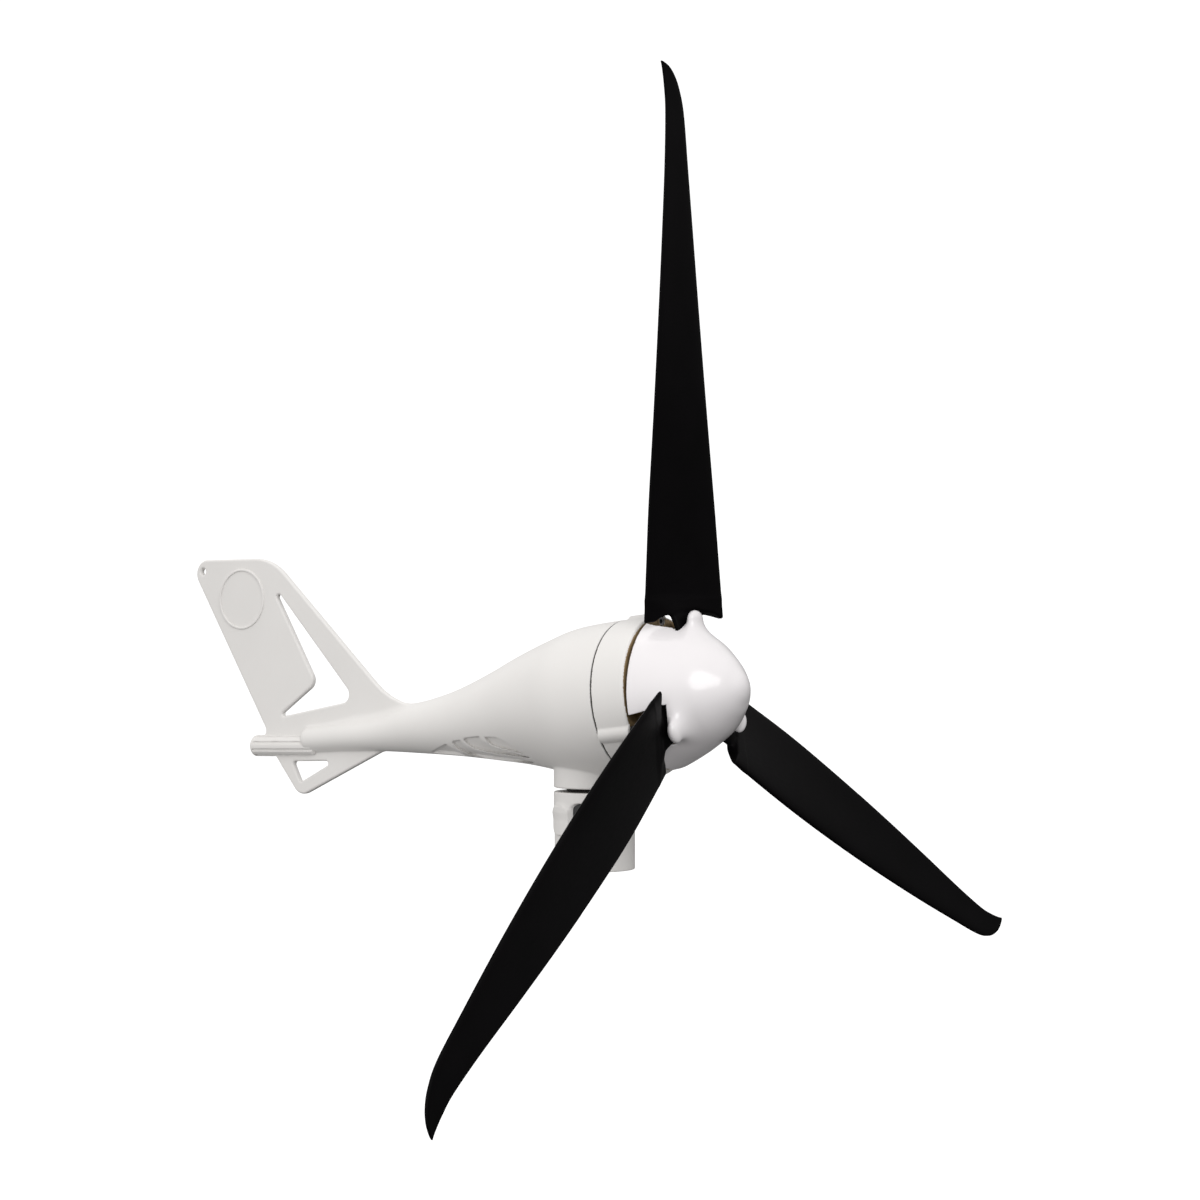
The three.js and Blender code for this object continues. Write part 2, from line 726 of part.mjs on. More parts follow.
function poleCollar() {
  const sleeve = solid(
    upright(
      turned(
        [
          [POLE_RADIUS + GAP, 0],
          [COLLAR_RADIUS - 1.6, 0],
          [COLLAR_RADIUS - 0.8, 0.8],
          [COLLAR_RADIUS - 0.8, 35],
          [COLLAR_RADIUS, 36.5],
          [COLLAR_RADIUS, COLLAR_TOP - 1.2],
          [COLLAR_RADIUS - 1.2, COLLAR_TOP],
          [15, COLLAR_TOP],
          [15, SOCKET_DEPTH],
          [POLE_RADIUS + GAP, SOCKET_DEPTH],
        ],
        32
      )
    )
  );
  const slit = new THREE.BoxGeometry(40, SLIT, 64).translate(CLAMP_RADIUS + 10, 0, 31);
  const cuts = [solid(toClamp(slit.translate(0, 0, -1)))];
  const middle = (CLAMP_HEIGHTS[0] + CLAMP_HEIGHTS[1]) / 2;
  const half = (CLAMP_HEIGHTS[1] - CLAMP_HEIGHTS[0]) / 2 + 6.2;
  const stadium = rounded([
    [-6.2, -half, 6.1],
    [6.2, -half, 6.1],
    [6.2, half, 6.1],
    [-6.2, half, 6.1],
  ]);
  const pocket = extrude(stadium, 30, 5).rotateX(Math.PI / 2).translate(CLAMP_RADIUS, -11, middle);
  cuts.push(solid(toClamp(pocket)));
  for (const height of CLAMP_HEIGHTS) {
    const hole = rod(3 + GAP, -20, 20, 12).translate(CLAMP_RADIUS, 0, height);
    cuts.push(solid(toClamp(hole)));
  }
  return cut(sleeve, cuts);
}

function yawShaft() {
  return upright(
    turned(
      [
        [5, 56],
        [15 - GAP, 56],
        [15 - GAP, COLLAR_TOP + GAP],
        [17.5, COLLAR_TOP + GAP],
        [17.5, LOWER_YAW_BEARING.low - GAP],
        [15 - GAP, LOWER_YAW_BEARING.low - GAP],
        [15 - GAP, 110],
        [12.5, 112],
        [12.5, UPPER_YAW_BEARING.low - GAP],
        [10 - GAP, UPPER_YAW_BEARING.low - GAP],
        [10 - GAP, 165],
        [5, 165],
      ],
      20
    )
  );
}

const SLIP_RINGS = [141, 148, 155]; // lower face of each ring
const RING_HEIGHT = 5;

function slipRingCarrier() {
  const profile = [[10, 137]];
  let low = 137;
  for (const start of SLIP_RINGS) {
    profile.push([15, low], [15, start - GAP], [12.5, start - GAP], [12.5, start + RING_HEIGHT + GAP]);
    low = start + RING_HEIGHT + GAP;
  }
  profile.push([15, low], [15, 163], [10, 163]);
  return upright(turned(profile, 16));
}

function snapRing() {
  const shape = new THREE.Shape();
  shape.absarc(0, 0, 32.6, 0.25, 2 * Math.PI - 0.25);
  shape.absarc(0, 0, 28, 2 * Math.PI - 0.25, 0.25, true);
  shape.closePath();
  return extrude(shape, 1.4, 18).translate(0, 0, 78.7);
}

// ---------------------------------------------------------------- assembly

function addPoleMount() {
  piece("pole_collar", poleCollar(), castingPaint, turbine);
  piece("yaw_shaft", yawShaft(), steel, turbine);
  piece("dust_seal", upright(ring(17.8, 27, COLLAR_TOP + GAP, 78.3, 32)), rubber, turbine);
  piece("yaw_lock_nut", upright(ring(10, 16, 128.4, 135, 16)), steel, turbine);
  piece("slip_ring_carrier", slipRingCarrier(), blackPlastic, turbine);
  SLIP_RINGS.forEach((low, i) => {
    const band = upright(ring(12.8, 15.5, low, low + RING_HEIGHT, 24));
    piece(`slip_ring_${i + 1}`, band, copper, turbine);
  });
  CLAMP_HEIGHTS.forEach((height, i) => {
    const level = i === 0 ? "lower" : "upper";
    const bolt = geometryOf(socketScrew(3, 28, 4.8, 6, 11 + GAP)).rotateX(Math.PI);
    piece(`clamp_bolt_${level}`, toClamp(bolt.translate(CLAMP_RADIUS, 0, height)), steel, turbine);
  });
}

function addYawBearings() {
  bearing("lower_yaw_bearing", LOWER_YAW_BEARING, turbine, upright);
  bearing("upper_yaw_bearing", UPPER_YAW_BEARING, turbine, upright);
  piece("snap_ring", snapRing(), steel, turbine);
}

function addHead() {
  piece("body_casting", bodyCasting(), castingPaint, turbine);
  piece("face_plate", facePlate(), castingPaint, drive);
  piece("face_gasket", gasket(), rubber, drive);
  SCREW_ANGLES.forEach((angle, i) => {
    const screw = geometryOf(socketScrew(2.3, 46, 4.4, 4, FACE_FRONT - 5.2));
    const shape = aroundAxis(screw.translate(0, 0, SCREW_CIRCLE), angle);
    piece(`face_screw_${i + 1}`, shape, steel, drive);
  });
  piece("stator_core", statorCore(), lamination, drive);
  piece("stator_winding", statorWinding(), copper, drive);
  piece("shaft_seal", ring(FRONT_BEARING.bore, 14.2, 93.2, 95.8, 24), rubber, drive);
}

function addElectronics() {
  const { x, from, to, z, thickness } = BOARD;
  const board = new THREE.BoxGeometry(2 * x, to - from, thickness);
  piece("circuit_board", board.translate(0, (from + to) / 2, z + thickness / 2), boardGreen, turbine);
  const top = z + thickness + GAP;
  const block = new THREE.BoxGeometry(28, 28, 9).translate(-8, 66, top + 4.5);
  piece("rectifier", block, blackPlastic, turbine);
  const can = upright(rod(8, 0, 22, 18)).translate(10, 96, top);
  piece("capacitor", can, blackPlastic, turbine);
  const holder = new THREE.BoxGeometry(18, 9, 30).translate(0, 28.5, TOWER.top + GAP + 15);
  piece("brush_holder", holder, blackPlastic, turbine);
  SLIP_RINGS.forEach((low, i) => {
    const brush = new THREE.BoxGeometry(6, 7.6, 4.4).translate(0, 19.8, low + RING_HEIGHT / 2);
    piece(`brush_${i + 1}`, brush, carbon, turbine);
  });
}

function addRotor() {
  piece("rotor_shaft", rotorShaft(), steel, drive);
  piece("rotor_core", rotorCore(), lamination, drive);
  for (let i = 0; i < MAGNET_COUNT; i += 1) {
    piece(`magnet_${i + 1}`, magnet(i), magnetPlate, drive);
  }
  bearing("front_bearing", FRONT_BEARING, drive);
  bearing("rear_bearing", REAR_BEARING, drive);
  piece("hub_plate", hubPlate(), steel, drive);
  piece("hub_washer", ring(7.3, 14, PLATE[1] + GAP, 108.7, 24), steel, drive);
  piece("hub_nut", hexNut(7.3, 19, 109, 118), steel, drive);
  for (let i = 0; i < BLADE_COUNT; i += 1) {
    const mesh = piece(`blade_${i + 1}`, blade(), bladeComposite, drive);
    mesh.rotation.y = -i * BLADE_STEP;
  }
  let boltNumber = 0;
  eachBladeBolt((bladeIndex, side) => {
    boltNumber += 1;
    const screw = geometryOf(socketScrew(2.5, 15, 4.3, 5, FOOT.high + GAP));
    const shape = aroundAxis(screw.translate(BOLT_OFFSET * side, 0, BOLT_RADIUS), bladeIndex * BLADE_STEP);
    piece(`blade_bolt_${boltNumber}`, shape, steel, drive);
  });
  piece("nose_cone", noseCone(), nosePlastic, drive);
}

addPoleMount();
addYawBearings();
addHead();
addElectronics();
addRotor();

export default turbine;
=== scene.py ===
"""Looks of the small three-blade wind turbine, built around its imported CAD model.

Shapes are worked out in millimetres in the row frame: +Z up, nose towards -Y, tail towards +Y, origin on the
yaw axis at the collar's bottom rim. "s" is a distance along the tilted rotor axis, towards the nose, and "h"
is a distance square to that axis, upwards. Cast and moulded shapes are signed distance fields (negative
inside) that are turned into meshes, so that every edge is rounded as a real casting's is.
"""

import math

import bpy
import numpy as np
from mathutils import Matrix, Vector


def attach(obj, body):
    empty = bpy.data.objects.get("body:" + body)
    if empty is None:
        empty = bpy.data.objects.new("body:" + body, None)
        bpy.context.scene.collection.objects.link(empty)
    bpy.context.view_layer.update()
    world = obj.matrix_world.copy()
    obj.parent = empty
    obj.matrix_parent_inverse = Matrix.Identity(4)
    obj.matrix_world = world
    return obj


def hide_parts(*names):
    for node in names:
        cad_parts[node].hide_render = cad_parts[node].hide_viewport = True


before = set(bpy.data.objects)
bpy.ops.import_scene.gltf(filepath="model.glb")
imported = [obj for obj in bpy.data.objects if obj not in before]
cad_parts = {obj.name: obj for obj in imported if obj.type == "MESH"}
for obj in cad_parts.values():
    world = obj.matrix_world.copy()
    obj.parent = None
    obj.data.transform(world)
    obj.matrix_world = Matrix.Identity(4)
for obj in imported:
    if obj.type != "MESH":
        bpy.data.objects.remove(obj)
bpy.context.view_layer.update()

# ---------------------------------------------------------------- driving dimensions, in millimetres

MM = 0.001
AXIS_HEIGHT = 158.0
AXIS_TILT = math.radians(6)
BLADE_STEP = math.radians(120)
QUICK = 1.0  # how much coarser the meshes are while trying things

COLLAR_RADIUS = 39.2
COLLAR_TOP = 73.9
NECK_BOTTOM = 77.6
POLE_RADIUS = 24.45
SOCKET_DEPTH = 55.0

BODY_FRONT = 46.4
BODY_RADIUS = 75.0
FACE_BACK = 47.8
FACE_FRONT = 82.0
STATOR_BAY = 61.3
STACK_FRONT = 70.3
NOSE_RIM = 84.0
NOSE_WALL = 2.6
ROTOR_RADIUS = 584.0
ROOT_RADIUS = 75.0

# Body casting: s, height of the section's centre above the rotor axis, radius.
BODY_STATIONS = [
    (-362, -5.5, 14),
    (-320, -6.5, 14.9),
    (-265, -8, 17.6),
    (-215, -6.5, 25),
    (-160, -5.5, 33.4),
    (-110, -2.5, 44.8),
    (-75, 0.3, 54),
    (-40, 1, 63.5),
    (-5, 0, 72.6),
    (20, 0, 74.4),
    (46.4, 0, 75),
]

# Tail plate corners in the row's YZ plane: y, z, corner radius.
FIN_OUTLINE = [
    (205, 125),
    (205, 152),
    (247, 152.5, 85),
    (414.5, 305.6, 60),
    (535.5, 305.6, 15),
    (420, 122.5, 6),
    (428, 112),
    (428, 100),
    (408, 97),
    (373, 54, 15),
    (258, 106.5),
]
BIG_WINDOW = [(420, 286, 2.9), (351.5, 173.5, 11), (405.5, 136.5, 2.2), (297.4, 156.6, 9)]
SMALL_WINDOW = [(325.5, 93, 2.5), (384, 91, 3), (372.5, 69.5, 3.5)]
LANYARD_HOLE = {"y": 513.5, "z": 293.1, "radius": 3.5}
FIN_RING = {"y": 456, "z": 262.5, "inner": 29.8, "outer": 32.4, "proud": 1.2}
STUB = {"radius": 11.4, "from": 350, "to": 438, "z": 108.4, "drop": 0.025}
FIN_THICKNESS = 7.0
FIN_EDGE = 2.2

# Nose cone profile: radius, s.
NOSE_PROFILE = [
    (0, 169.6),
    (8, 168),
    (16, 163.8),
    (28, 155.5),
    (45, 138.8),
    (58, 117),
    (66.8, 97.5),
    (72, 84),
]

# Blade planform: radius, trailing edge and leading edge measured across the blade.
BLADE_STATIONS = [
    (70, -47, 41),
    (120, -47.4, 39.8),
    (180, -47, 37.6),
    (260, -43.2, 32.8),
    (340, -38.4, 26.6),
    (420, -32.8, 19.2),
    (490, -27.8, 11.6),
    (540, -26, 5.6),
    (562, -28, -1.5),
    (574, -30.2, -9.5),
    (581, -32, -19),
    (584, -33.4, -31),
]

# ---------------------------------------------------------------- curves and outlines


def smooth_curve(xs, ys):
    """A smooth curve y(x) through the given points, flat-ended past them."""
    xs, ys = np.asarray(xs, float), np.asarray(ys, float)
    slopes = np.gradient(ys, xs)

    def at(x):
        x = np.clip(x, xs[0], xs[-1])
        i = np.clip(np.searchsorted(xs, x) - 1, 0, len(xs) - 2)
        width = xs[i + 1] - xs[i]
        t = (x - xs[i]) / width
        start = ys[i] * (1 + 2 * t) * (1 - t) ** 2 + slopes[i] * width * t * (1 - t) ** 2
        end = ys[i + 1] * (3 - 2 * t) * t**2 + slopes[i + 1] * width * (t - 1) * t**2
        return start + end

    return at


def spline_points(points, per_span=8):
    """Points of a Catmull-Rom spline through the given points."""
    p = np.asarray(points, float)
    p = np.vstack([2 * p[0] - p[1], p, 2 * p[-1] - p[-2]])
    made = []
    for a, b, c, d in zip(p, p[1:], p[2:], p[3:]):
        for t in np.linspace(0, 1, per_span, endpoint=False):
            bend = 2 * a - 5 * b + 4 * c - d
            twist = 3 * b - a - 3 * c + d
            made.append(0.5 * (2 * b + (c - a) * t + bend * t**2 + twist * t**3))
    made.append(p[-2])
    return np.array(made)


def rounded(corners, arc_step=math.radians(9)):
    """Points of a closed outline whose corners (x, y, radius) are rounded by arcs."""
    made = []
    for i, corner in enumerate(corners):
        here = np.array(corner[:2], float)
        radius = corner[2] if len(corner) > 2 else 0
        if radius == 0:
            made.append(here)
            continue
        back = np.array(corners[i - 1][:2], float) - here
        on = np.array(corners[(i + 1) % len(corners)][:2], float) - here
        back /= np.linalg.norm(back)
        on /= np.linalg.norm(on)
        half = math.acos(np.clip(back @ on, -1, 1)) / 2
        middle = (back + on) / np.linalg.norm(back + on)
        centre = here + middle * radius / math.sin(half)
        start = here + back * radius / math.tan(half) - centre
        turn = math.pi - 2 * half
        if back[0] * on[1] - back[1] * on[0] > 0:
            turn = -turn
        steps = max(2, math.ceil(abs(turn) / arc_step))
        for angle in np.linspace(0, turn, steps + 1):
            c, s = math.cos(angle), math.sin(angle)
            made.append(centre + np.array([c * start[0] - s * start[1], s * start[0] + c * start[1]]))
    return np.array(made)


def outline_distance(u, v, outline):
    """Signed distance to a closed polygon, negative inside."""
    nearest = np.full(u.shape, 1e9)
    inside = np.zeros(u.shape, bool)
    for (ax, ay), (bx, by) in zip(outline, np.roll(outline, -1, axis=0)):
        ex, ey = bx - ax, by - ay
        length = ex * ex + ey * ey
        if length == 0:
            continue
        t = np.clip(((u - ax) * ex + (v - ay) * ey) / length, 0, 1)
        nearest = np.minimum(nearest, (u - ax - t * ex) ** 2 + (v - ay - t * ey) ** 2)
        if ey != 0:
            crosses = (ay <= v) != (by <= v)
            inside ^= crosses & (u < ax + (v - ay) * ex / ey)
    return np.where(inside, -1, 1) * np.sqrt(nearest)


class Outline:
    """Signed distance to a closed outline, kept on a grid and read smoothly between its points."""

    def __init__(self, outline, step=0.5, margin=10):
        outline = np.asarray(outline, float)
        self.low = outline.min(0) - margin
        self.step = step
        count = np.ceil((outline.max(0) + margin - self.low) / step).astype(int) + 1
        u = self.low[0] + step * np.arange(count[0])
        v = self.low[1] + step * np.arange(count[1])
        self.values = outline_distance(*np.meshgrid(u, v, indexing="ij"), outline)

    def __call__(self, u, v):
        most = np.array(self.values.shape) - 1.001
        gu, gv = (u - self.low[0]) / self.step, (v - self.low[1]) / self.step
        cu, cv = np.clip(gu, 0, most[0]), np.clip(gv, 0, most[1])
        i, j = cu.astype(int), cv.astype(int)
        a, b = cu - i, cv - j
        f = self.values
        near = f[i, j] * (1 - a) * (1 - b) + f[i + 1, j] * a * (1 - b)
        far = f[i, j + 1] * (1 - a) * b + f[i + 1, j + 1] * a * b
        return near + far + self.step * np.hypot(gu - cu, gv - cv)


# ---------------------------------------------------------------- signed distance fields


def union(a, b, fillet=0.01):
    mix = np.clip(0.5 + 0.5 * (b - a) / fillet, 0, 1)
    return b + (a - b) * mix - fillet * mix * (1 - mix)


def both(a, b, edge=0.01):
    return -union(-a, -b, edge)


def without(a, b, edge=0.01):
    return both(a, -b, edge)


def slab(across, thickness, outline, edge):
    """A plate of the given outline distance and thickness with rounded edges."""
    u, v = outline + edge, np.abs(across) - thickness / 2 + edge
    return np.hypot(np.maximum(u, 0), np.maximum(v, 0)) + np.minimum(np.maximum(u, v), 0) - edge


def rod(radius, along, low, high, edge=0.3):
    """A rod from its radial distance and its distance along its axis."""
    return slab(along - (low + high) / 2, high - low, radius, edge)


def to_axis(x, y, z):
    """s and h of row points."""
    c, s = math.cos(AXIS_TILT), math.sin(AXIS_TILT)
    up = z - AXIS_HEIGHT
    return s * up - c * y, c * up + s * y


def from_axis(x, s, h):
    """Row points of x, s and h."""
    c, n = math.cos(AXIS_TILT), math.sin(AXIS_TILT)
    return np.stack([x, n * h - c * s, AXIS_HEIGHT + c * h + n * s], -1)


# ---------------------------------------------------------------- fields to meshes


def near_values(field, axes, reach):
    """The field on the grid of three axes, true near the surface and only its sign elsewhere."""
    block = 4
    counts = [len(a) // block for a in axes]
    centres = [a[: n * block].reshape(n, block).mean(1) for a, n in zip(axes, counts)]
    grid = np.meshgrid(*centres, indexing="ij")
    coarse = field(*[g.ravel() for g in grid]).reshape(counts)
    values = np.where(coarse < 0, -reach, reach).astype(np.float32)
    for axis in range(3):
        values = values.repeat(block, axis)
    offset = np.stack(np.meshgrid(*[np.arange(block)] * 3, indexing="ij"), -1).reshape(1, -1, 3)
    cells = np.argwhere(np.abs(coarse) < reach)
    for part in np.array_split(cells, max(1, len(cells) // 4000)):
        i, j, k = (part[:, None] * block + offset).reshape(-1, 3).T
        values[i, j, k] = field(axes[0][i], axes[1][j], axes[2][k])
    return values


def net(values):
    """Vertices (in grid steps) and quads of the surface where the values change sign."""
    inside = values < 0
    corners = np.stack(np.meshgrid([0, 1], [0, 1], [0, 1], indexing="ij"), -1).reshape(-1, 3)
    size = np.array(values.shape) - 1
    count = np.zeros(size, np.uint8)
    for i, j, k in corners:
        count += inside[i : i + size[0], j : j + size[1], k : k + size[2]]
    cells = np.argwhere((count > 0) & (count < 8))
    total, hits = np.zeros((len(cells), 3)), np.zeros(len(cells))
    for a in corners:
        for axis in np.flatnonzero(a == 0):
            b = a.copy()
            b[axis] = 1
            va = values[tuple((cells + a).T)].astype(float)
            vb = values[tuple((cells + b).T)].astype(float)
            crossed = (va < 0) != (vb < 0)
            t = np.where(crossed, va / np.where(crossed, va - vb, 1), 0)[:, None]
            total += np.where(crossed[:, None], a + t * (b - a), 0)
            hits += crossed
    number = np.full(size, -1, np.int32)
    number[tuple(cells.T)] = np.arange(len(cells))
    quads = []
    for axis in range(3):
        one, two = (axis + 1) % 3, (axis + 2) % 3
        first = np.moveaxis(inside, axis, 0)
        changed = np.moveaxis(first[1:] != first[:-1], 0, axis)
        at = np.argwhere(changed)
        at = at[(at[:, one] > 0) & (at[:, two] > 0) & (at[:, one] < size[one]) & (at[:, two] < size[two])]
        corner = []
        for back_one, back_two in ((1, 1), (0, 1), (0, 0), (1, 0)):
            cell = at.copy()
            cell[:, one] -= back_one
            cell[:, two] -= back_two
            corner.append(number[tuple(cell.T)])
        quad = np.stack(corner, 1)
        outward = inside[tuple(at.T)]
        quads.append(np.where(outward[:, None], quad, quad[:, ::-1]))
    return cells + total / hits[:, None], np.vstack(quads)


def slope(field, points, eps=0.05):
    """Value and gradient of the field at points."""
    x, y, z = points.T
    steps = [
        field(x + eps, y, z) - field(x - eps, y, z),
        field(x, y + eps, z) - field(x, y - eps, z),
        field(x, y, z + eps) - field(x, y, z - eps),
    ]
    return field(x, y, z), np.stack(steps, 1) / (2 * eps)


def settle(field, points, most, rounds=2):
    """Moves points onto the surface, each round by no more than "most"."""
    for _ in range(rounds):
        value, gradient = slope(field, points)
        size = np.maximum((gradient**2).sum(1), 0.2)
        move = gradient * (value / size)[:, None]
        length = np.maximum(np.linalg.norm(move, axis=1), 1e-9)
        points = points - move * np.minimum(1, most / length)[:, None]
    return points


def mesh_of(name, points, faces):
    """A smooth-shaded mesh of quads or triangles, from points in millimetres."""
    mesh = bpy.data.meshes.new(name)
    sides = faces.shape[1]
    mesh.vertices.add(len(points))
    mesh.vertices.foreach_set("co", (points * MM).astype(np.float32).ravel())
    mesh.loops.add(faces.size)
    mesh.loops.foreach_set("vertex_index", faces.astype(np.int32).ravel())
    mesh.polygons.add(len(faces))
    mesh.polygons.foreach_set("loop_start", np.arange(0, faces.size, sides, dtype=np.int32))
    mesh.update(calc_edges=True)
    mesh.validate()
    mesh.shade_smooth()
    return mesh


def thinned(mesh, ratio):
    """The mesh with its flattest parts merged into fewer faces."""
    thing = bpy.data.objects.new(mesh.name, mesh)
    bpy.context.scene.collection.objects.link(thing)
    modifier = thing.modifiers.new("thin", "DECIMATE")
    modifier.ratio = ratio
    dg = bpy.context.evaluated_depsgraph_get()
    thin = bpy.data.meshes.new_from_object(thing.evaluated_get(dg))
    bpy.data.objects.remove(thing)
    bpy.data.meshes.remove(mesh)
    return thin


def moulded(name, field, low, high, step, most_faces=180_000):
    """A mesh of the field's surface inside a box, its normals taken from the field itself."""
    step = step * QUICK
    axes = []
    for a, b in zip(low, high):
        count = math.ceil((b - a) / step / 4 + 1) * 4
        axes.append(a + step * np.arange(count))
    values = near_values(field, axes, 5.2 * step)
    points, quads = net(values)
    points = np.array([a[0] for a in axes]) + points * step
    points = settle(field, points, step / 2)
    mesh = mesh_of(name, points, quads)
    if 2 * len(quads) > most_faces:
        mesh = thinned(mesh, most_faces / (2 * len(quads)))
        points = np.empty(len(mesh.vertices) * 3, np.float32)
        mesh.vertices.foreach_get("co", points)
        points = settle(field, points.reshape(-1, 3) / MM, step / 4, 1)
        mesh.vertices.foreach_set("co", (points * MM).astype(np.float32).ravel())
    _, gradient = slope(field, points)
    length = np.linalg.norm(gradient, axis=1, keepdims=True)
    mesh.shade_smooth()
    mesh.normals_split_custom_set_from_vertices(gradient / np.maximum(length, 1e-6))
    return mesh


# ---------------------------------------------------------------- body casting

POCKET_DEPTH = 3.4
KEEL = 18.0
# Cooling pockets in the side view: y, z, corner radius.
POCKETS = [
    [
        (189, 106.6), (161, 115.6), (157, 113, 3), (151, 108, 8), (145, 102), (150, 96), (186, 98),
    ],
    [
        (151, 117, 1), (147.5, 119.2, 1), (138, 120.4, 0.8), (135.8, 115.8, 5), (128, 110.2, 14),
        (98, 105.4, 60), (51, 100.4), (92, 99.6, 60), (120, 101.8, 60), (139, 104.6, 14),
        (149, 111.8, 10),
    ],
    [
        (132.6, 121.2, 1), (129, 122.8, 4), (109, 124.9, 0.8), (107.2, 120.6, 5), (94, 113.7, 18),
        (73.5, 109.8, 60), (49, 105.4), (92.6, 108, 60), (113, 110.2, 40), (125, 112.9, 14),
        (131.4, 117, 8),
    ],
    [
        (101.4, 124.6, 1), (85, 124.6, 20), (75.3, 121.2, 20), (57, 109.6), (85, 113.9, 40),
        (93, 116.2, 20), (99.8, 119.2, 6),
    ],
]
NECK_FILLET = 2.0
FIN_FILLET_ABOVE = 8.0
FIN_FILLET_BELOW = 2.0
TAIL_DOME = 9.0  # how far the rounded end of the boom reaches past its last station
BOOM_END = -340.0  # s where the boom starts to round off, with a crisp edge against the fin
CAVITY = {"wall": 7.0, "back": -130.0, "front": 18.0}
# The solid parts round the yaw axis inside the cavity: the bearing tower, and the housing below it.
WELL_BOTTOM = 60.0
TOWER = {"radius": 26.0, "top": 134.0}
HOUSING = {"radius": COLLAR_RADIUS - 1, "top": 101.0}


def mirrored(points):
    """A closed outline from one side's points (along, out); a turned shape then has no edge on its axis."""
    points = np.asarray(points, float)
    return np.vstack([points, (points * [1, -1])[::-1]])


stations = np.array(BODY_STATIONS, float)
body_centre = smooth_curve(stations[:, 0], stations[:, 1])
body_radius = smooth_curve(stations[:, 0], stations[:, 2])


def body_outline():
    """The body's half section: a dome at the end of the boom, then the stations' radii."""
    end, _, radius = BODY_STATIONS[0]
    turns = np.linspace(0, math.pi / 2, 10)
    dome = [(end - TAIL_DOME * math.cos(turn), radius * math.sin(turn)) for turn in turns]
    along = np.linspace(end + 2, BODY_FRONT, 120)
    return mirrored(dome + list(zip(along, body_radius(along))))


body_profile = Outline(body_outline(), 1.0)
tail_outline = Outline(rounded(FIN_OUTLINE), 1.0)
windows = Outline(rounded(BIG_WINDOW), 0.8), Outline(rounded(SMALL_WINDOW), 0.8)
pocket_outlines = [Outline(rounded(p), 0.5) for p in POCKETS]
bay_profile = Outline(
    mirrored([(26, 0), (26, 60), (32.7, 60), (32.7, 58), (35.7, 58), (35.7, STATOR_BAY), (60, STATOR_BAY)])
)
rear_boss_profile = Outline(mirrored([(15, 0), (15, 24.5), (34.3, 24.5), (34.3, 0)]))
rear_bearing_profile = Outline(mirrored([(22, 0), (22, 20.3), (50, 20.3), (50, 0)]))
yaw_profile = Outline(
    mirrored([(70, 0), (70, 31.3), (96.8, 31.3), (96.8, 17), (115.7, 17), (115.7, 21.3), (150, 21.3)])
)


def tail_plate(x, y, z):
    """The fin, with its two windows and the lanyard hole."""
    outline = tail_outline(y, z)
    for window in windows:
        outline = np.maximum(outline, -window(y, z))
    from_hole = np.hypot(y - LANYARD_HOLE["y"], z - LANYARD_HOLE["z"])
    outline = np.maximum(outline, LANYARD_HOLE["radius"] - from_hole)
    return slab(x, FIN_THICKNESS, outline, FIN_EDGE)


def pockets(x, y, z, skin):
    """The cooling pockets, all of one depth, on both sides of the keel."""
    side = pocket_outlines[0](y, z)
    for outline in pocket_outlines[1:]:
        side = np.minimum(side, outline(y, z))
    return both(both(side, -(skin + POCKET_DEPTH), 1.2), KEEL / 2 - np.abs(x), 1)


def casting_hollow(x, y, z, s, h, skin):
    """The stator bay, rear bearing seat, electronics cavity and yaw bore."""
    radius = np.hypot(x, h)
    around_yaw = np.hypot(x, y)
    bay = without(bay_profile(s, radius), rear_boss_profile(s, radius))
    bay = union(bay, rear_bearing_profile(s, radius))
    tower = rod(around_yaw - TOWER["radius"], z, WELL_BOTTOM, TOWER["top"])
    housing = rod(around_yaw - HOUSING["radius"], z, WELL_BOTTOM, HOUSING["top"])
    cavity = both(both(skin + CAVITY["wall"], s - CAVITY["front"]), CAVITY["back"] - s)
    cavity = without(without(cavity, tower), housing)
    return union(union(bay, cavity), yaw_profile(z, around_yaw))


def casting(x, y, z):
    """The body, its neck and the tail plate as one casting."""
    s, h = to_axis(x, y, z)
    skin = body_profile(s, np.hypot(x, h - body_centre(s)))
    skin = both(skin, s - BODY_FRONT, 0.4)
    neck = rod(np.hypot(x, y) - COLLAR_RADIUS, z, NECK_BOTTOM, 125, 1.6)
    above = np.clip((h - body_centre(s)) / 12 + 0.4, 0, 1) * np.clip((s - BOOM_END) / 40, 0, 1)
    fin_fillet = FIN_FILLET_BELOW + (FIN_FILLET_ABOVE - FIN_FILLET_BELOW) * above
    body = union(union(skin, neck, NECK_FILLET), tail_plate(x, y, z), fin_fillet)
    body = without(body, pockets(x, y, z, skin), 0.7)
    return without(body, casting_hollow(x, y, z, s, h, skin), 0.3)


GROOVE_COUNT = 9
GROOVE_TURN = math.radians(17)  # of one groove above the level of the stub's axis
GROOVE_RADIUS = 1.6


def tail_stub(x, y, z):
    """The grooved plug in the end of the boom."""
    up = z - STUB["z"] + STUB["drop"] * (y - STUB["from"])
    radius = np.hypot(x, up)
    plug = rod(radius - STUB["radius"], y, STUB["from"], STUB["to"], 3.5)
    pitch = 2 * math.pi / GROOVE_COUNT
    turn = np.arctan2(up, np.abs(x)) - GROOVE_TURN
    across = (turn - pitch * np.round(turn / pitch)) * radius
    past = np.maximum(y - STUB["to"] + 6, 0)
    groove = np.sqrt(across**2 + (radius - STUB["radius"]) ** 2 + past**2) - GROOVE_RADIUS
    return without(plug, groove, 0.3)


